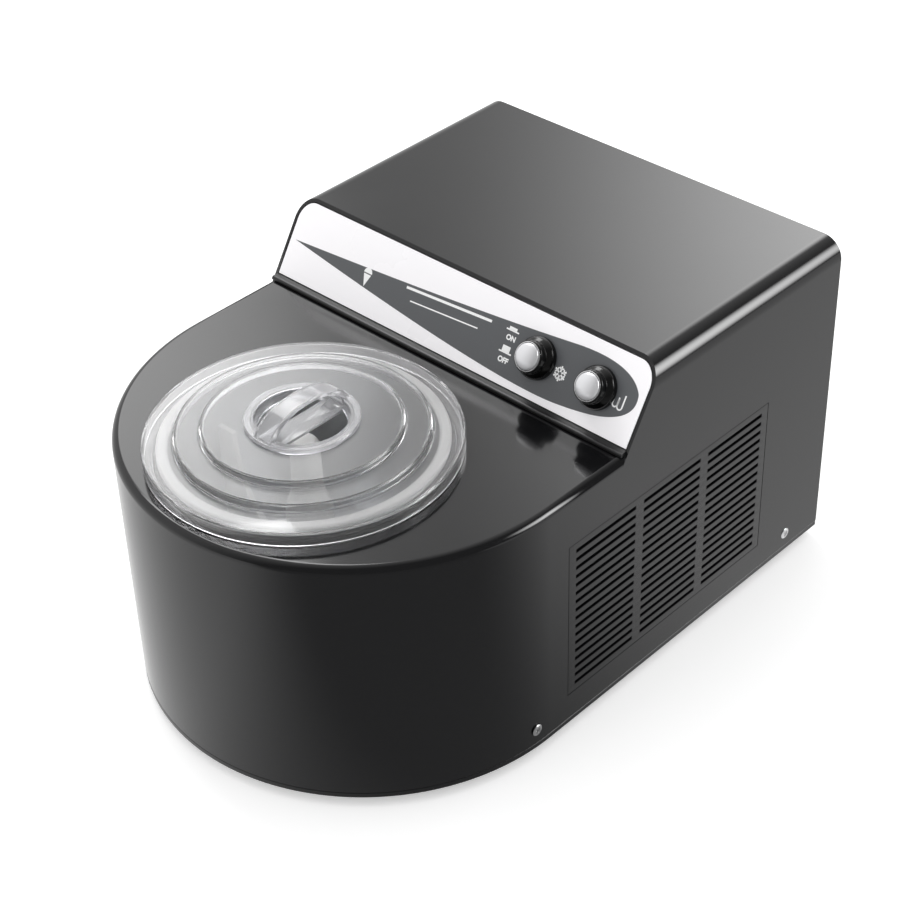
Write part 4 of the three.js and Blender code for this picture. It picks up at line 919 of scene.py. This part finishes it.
def clear_lid():
    bottom, top = lid_low.z, lid_high.z
    outer = lid_high.x
    flange, shelf = bottom + 8.7 * MM, bottom + 13.7 * MM
    t = 2 * MM
    lid = turned("lid_moulding", [
        (outer, bottom), (outer, flange - MM), (outer - 0.4 * MM, flange - 0.3 * MM), (outer - MM, flange),
        (STEP_ONE + MM, flange), (STEP_ONE, flange + 0.8 * MM),
        (STEP_ONE, shelf - 1.2 * MM), (STEP_ONE - 1.2 * MM, shelf), (STEP_TWO + MM, shelf),
        (STEP_TWO, shelf + 0.8 * MM), (STEP_TWO, top - 1.2 * MM), (STEP_TWO - 1.2 * MM, top),
        (INSERT_BODY + GAP, top), (INSERT_BODY + GAP, top - t), (STEP_TWO - t, top - t),
        (STEP_TWO - t, shelf - t), (STEP_ONE - t, shelf - t), (STEP_ONE - t, flange - t),
        (outer - t, flange - t), (outer - t, bottom),
    ], steps=192, edge=0.35 * MM, segments=3, at=(0, BOWL_Y))
    return seat(lid, "lid_body", "clear_plastic", clear_plastic, "clear_lid")


def lid_insert():
    low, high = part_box("lid_insert")
    rim_bottom = lid_high.z + GAP
    rim_top = rim_bottom + 1.8 * MM
    floor_top = lid_high.z - 3 * MM
    at = (0, BOWL_Y)
    cup = turned("insert_moulding", [
        (0, low.z), (INSERT_BODY, low.z), (INSERT_BODY, rim_bottom), (INSERT_RIM, rim_bottom),
        (INSERT_RIM, rim_top - 0.6 * MM), (INSERT_RIM - 0.6 * MM, rim_top), (INSERT_BODY - 2 * MM, rim_top),
        (INSERT_BODY - 2 * MM, floor_top), (0, floor_top),
    ], steps=FINE, edge=0, at=at)
    for side in (1, -1):
        half = HANDLE_WIDTH / 2 + MM
        radius = INSERT_BODY - 4 * MM
        angle = math.degrees(math.acos(half / radius))
        moon = [(side * x, BOWL_Y + y, low.z - 5 * MM) for x, y in arc(0, 0, radius, -angle, angle, 32)]
        combine(cup, slab("moon", moon, (0, 0, 15 * MM)), "DIFFERENCE")
    half = INSERT_RIM - 2.5 * MM
    crown = high.z + 6 * MM
    thickness = 4 * MM
    foot_z = floor_top - MM
    outer_line = [
        (-half, foot_z), *curve_through((-half, rim_top), (6 * MM - half, crown), (0, crown), 16),
        *curve_through((0, crown), (half - 6 * MM, crown), (half, rim_top), 16), (half, rim_top), (half, foot_z),
    ]
    inner_line = [
        (half - thickness, foot_z),
        *curve_through((half - thickness, foot_z), (half - 9 * MM, crown - thickness), (0, crown - thickness), 16)[1:],
        *curve_through((0, crown - thickness), (9 * MM - half, crown - thickness), (thickness - half, foot_z), 16),
        (thickness - half, foot_z),
    ]
    scale = (high.z - rim_top) / (crown - rim_top)
    line = [(-HANDLE_WIDTH / 2, BOWL_Y + y, rim_top + (z - rim_top) * (scale if z > rim_top else 1))
            for y, z in outer_line + inner_line]
    handle = slab("handle", line, (HANDLE_WIDTH, 0, 0), 0.9 * MM)
    combine(handle, turned("handle_limit", [
        (0, low.z), (INSERT_BODY - 0.02 * MM, low.z), (INSERT_BODY - 0.02 * MM, rim_bottom + 0.01 * MM),
        (INSERT_RIM - 0.02 * MM, rim_bottom + 0.01 * MM), (INSERT_RIM - 0.02 * MM, high.z + 5 * MM),
        (0, high.z + 5 * MM),
    ], edge=0, at=at), "INTERSECT")
    combine(cup, handle, "UNION")
    smooth(cup)
    return seat(cup, "insert_body", "clear_plastic", frosted_plastic, "lid_insert")


# ---------- works inside, kept as modelled ----------
def inner_works():
    finishes = {
        plain_aluminium: ["bearing_housing", "driven_pulley", "motor_pulley", "condenser"],
        bright_steel: ["upper_bearing", "lower_bearing", "drive_shaft"],
        zinc_steel: ["drive_motor", "motor_bracket", "fan_shroud", "fan_motor"],
        belt_rubber: ["drive_belt"],
        black_enamel: ["compressor"],
        trim_black: ["start_relay", "condenser_fan"],
        grey_plastic: ["cooling_switch", "mixing_switch"],
        copper_tube: ["discharge_pipe", "suction_pipe", "filter_drier", "evaporator_coil"],
        foam_jacket: ["insulation_jacket"],
        foot_rubber: [f"compressor_grommet_{corner}" for corner in
                      ("front_right", "front_left", "rear_right", "rear_left")],
    }
    for material, names in finishes.items():
        for name in names:
            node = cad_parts[name]
            node.data.materials.clear()
            node.data.materials.append(material)


housing_shell()
base_tray()
for corner in ("front_right", "front_left", "rear_right", "rear_left"):
    foot(f"foot_{corner}")
vent_grille("vent_grille_right", 1)
vent_grille("vent_grille_left", -1)
all_screws()
rear_panel()
power_inlet()
control_fascia()
fascia_label()
leaf()
snowflake()
paddle_sign()
button_signs()
words()
plain_stripes()
button("cooling")
button("mixing")
bowl_parts()
mixing_paddle()
clear_lid()
lid_insert()
inner_works()


# ---------- stage ----------
def floor():
    deselect()
    bpy.ops.mesh.primitive_plane_add(size=30)
    ground = bpy.context.object
    ground.name = "floor"
    pale = bpy.data.materials.new("pale_floor")
    pale.use_nodes = True
    surface = pale.node_tree.nodes["Principled BSDF"]
    surface.inputs["Base Color"].default_value = (0.92, 0.92, 0.92, 1)
    surface.inputs["Roughness"].default_value = 0.9
    surface.inputs["Specular IOR Level"].default_value = 0.0
    surface.inputs["Emission Color"].default_value = (1, 1, 1, 1)
    surface.inputs["Emission Strength"].default_value = 0.35
    # In reflections the floor is a dark card to the right of the front, and pale to the left and beside the machine.
    nodes, links = pale.node_tree.nodes, pale.node_tree.links
    place = nodes.new("ShaderNodeTexCoord")
    split = nodes.new("ShaderNodeSeparateXYZ")
    links.new(place.outputs["Object"], split.inputs["Vector"])
    paler = nodes.new("ShaderNodeMath")
    paler.operation = "MAXIMUM"
    for number, (axis, dark, pale_from, glow) in enumerate((("Y", -0.1, 0.17, 0.66), ("X", 0.15, -0.05, 0.8))):
        ramp = nodes.new("ShaderNodeMapRange")
        ramp.interpolation_type = "SMOOTHSTEP"
        ramp.inputs["From Min"].default_value = dark
        ramp.inputs["From Max"].default_value = pale_from
        ramp.inputs["To Max"].default_value = glow
        links.new(split.outputs[axis], ramp.inputs["Value"])
        links.new(ramp.outputs["Result"], paler.inputs[number])
    depth = nodes.new("ShaderNodeMath")
    depth.operation = "ADD"
    depth.inputs[1].default_value = 0.24
    links.new(paler.outputs[0], depth.inputs[0])
    card = nodes.new("ShaderNodeEmission")
    links.new(depth.outputs[0], card.inputs["Strength"])
    rays = nodes.new("ShaderNodeLightPath")
    mix = nodes.new("ShaderNodeMixShader")
    links.new(rays.outputs["Is Glossy Ray"], mix.inputs["Fac"])
    links.new(surface.outputs["BSDF"], mix.inputs[1])
    links.new(card.outputs["Emission"], mix.inputs[2])
    links.new(mix.outputs["Shader"], nodes["Material Output"].inputs["Surface"])
    ground.data.materials.append(pale)


def soft_light(name, place, target, width, height, power):
    light = bpy.data.lights.new(name, "AREA")
    light.shape = "RECTANGLE"
    light.size = width
    light.size_y = height
    light.energy = power
    lamp = bpy.data.objects.new(name, light)
    bpy.context.scene.collection.objects.link(lamp)
    lamp.location = place
    lamp.rotation_euler = (Vector(target) - Vector(place)).to_track_quat("-Z", "Y").to_euler()
    return lamp


def direction(azimuth, elevation, distance):
    """A place in the room: azimuth from +Y towards +X, and elevation, in degrees."""
    a, e = math.radians(azimuth), math.radians(elevation)
    return (distance * math.sin(a) * math.cos(e), distance * math.cos(a) * math.cos(e), distance * math.sin(e))


def facing(nodes, links, way, toward, low, high, strength, power=1.0):
    """A soft patch of light in the world: strength where the ray points toward the given direction."""
    dot = nodes.new("ShaderNodeVectorMath")
    dot.operation = "DOT_PRODUCT"
    links.new(way, dot.inputs[0])
    dot.inputs[1].default_value = toward
    ramp = nodes.new("ShaderNodeMapRange")
    ramp.inputs["From Min"].default_value = low
    ramp.inputs["From Max"].default_value = high
    links.new(dot.outputs["Value"], ramp.inputs["Value"])
    curve = nodes.new("ShaderNodeMath")
    curve.operation = "POWER"
    curve.inputs[1].default_value = power
    links.new(ramp.outputs["Result"], curve.inputs[0])
    patch = nodes.new("ShaderNodeMath")
    patch.operation = "MULTIPLY"
    patch.inputs[1].default_value = strength
    links.new(curve.outputs[0], patch.inputs[0])
    return patch.outputs[0]


def studio():
    """A white tent. In reflections it is grey behind the machine, dark in front of it, and has two soft lamps."""
    world = bpy.data.worlds.new("studio")
    world.use_nodes = True
    nodes, links = world.node_tree.nodes, world.node_tree.links
    way = nodes.new("ShaderNodeTexCoord").outputs["Generated"]
    total = facing(nodes, links, way, (-0.954, 0.3, 0), -0.3, 0.42, 0.78)
    patches = (
        (direction(-25, 32, 1), 0.95, 1.0, 5.5, 2.2),
        (direction(-58, 34, 1), 0.986, 1.0, 3.4, 1.0),
        (direction(50, 22, 1), 0.93, 1.0, 13.0, 1.3),
    )
    for patch in patches:
        both = nodes.new("ShaderNodeMath")
        both.operation = "ADD"
        links.new(total, both.inputs[0])
        links.new(facing(nodes, links, way, *patch), both.inputs[1])
        total = both.outputs[0]
    lifted = nodes.new("ShaderNodeMath")
    lifted.operation = "ADD"
    lifted.inputs[1].default_value = 0.16
    links.new(total, lifted.inputs[0])
    seen = nodes.new("ShaderNodeMix")
    seen.data_type = "FLOAT"
    seen.inputs[2].default_value = 1.02
    links.new(nodes.new("ShaderNodeLightPath").outputs["Is Glossy Ray"], seen.inputs[0])
    links.new(lifted.outputs[0], seen.inputs[3])
    sky = nodes["Background"]
    sky.inputs["Color"].default_value = (1, 1, 1, 1)
    links.new(seen.outputs[0], sky.inputs["Strength"])
    bpy.context.scene.world = world
    soft_light("key_box", direction(-70, 55, 2.2), (0, 0, 0.15), 0.9, 0.7, 12)
    bpy.context.scene.view_settings.view_transform = "Standard"


def camera():
    view = bpy.data.cameras.new("camera")
    view.lens = 82.82
    view.sensor_width = 36
    view.shift_x = -0.004
    view.shift_y = 0.0008
    eye = bpy.data.objects.new("camera", view)
    bpy.context.scene.collection.objects.link(eye)
    eye.location = (0.7322, -0.7367, 0.8901)
    eye.rotation_euler = (0.9284, 0.0234, 0.7512)
    bpy.context.scene.camera = eye


floor()
studio()
camera()
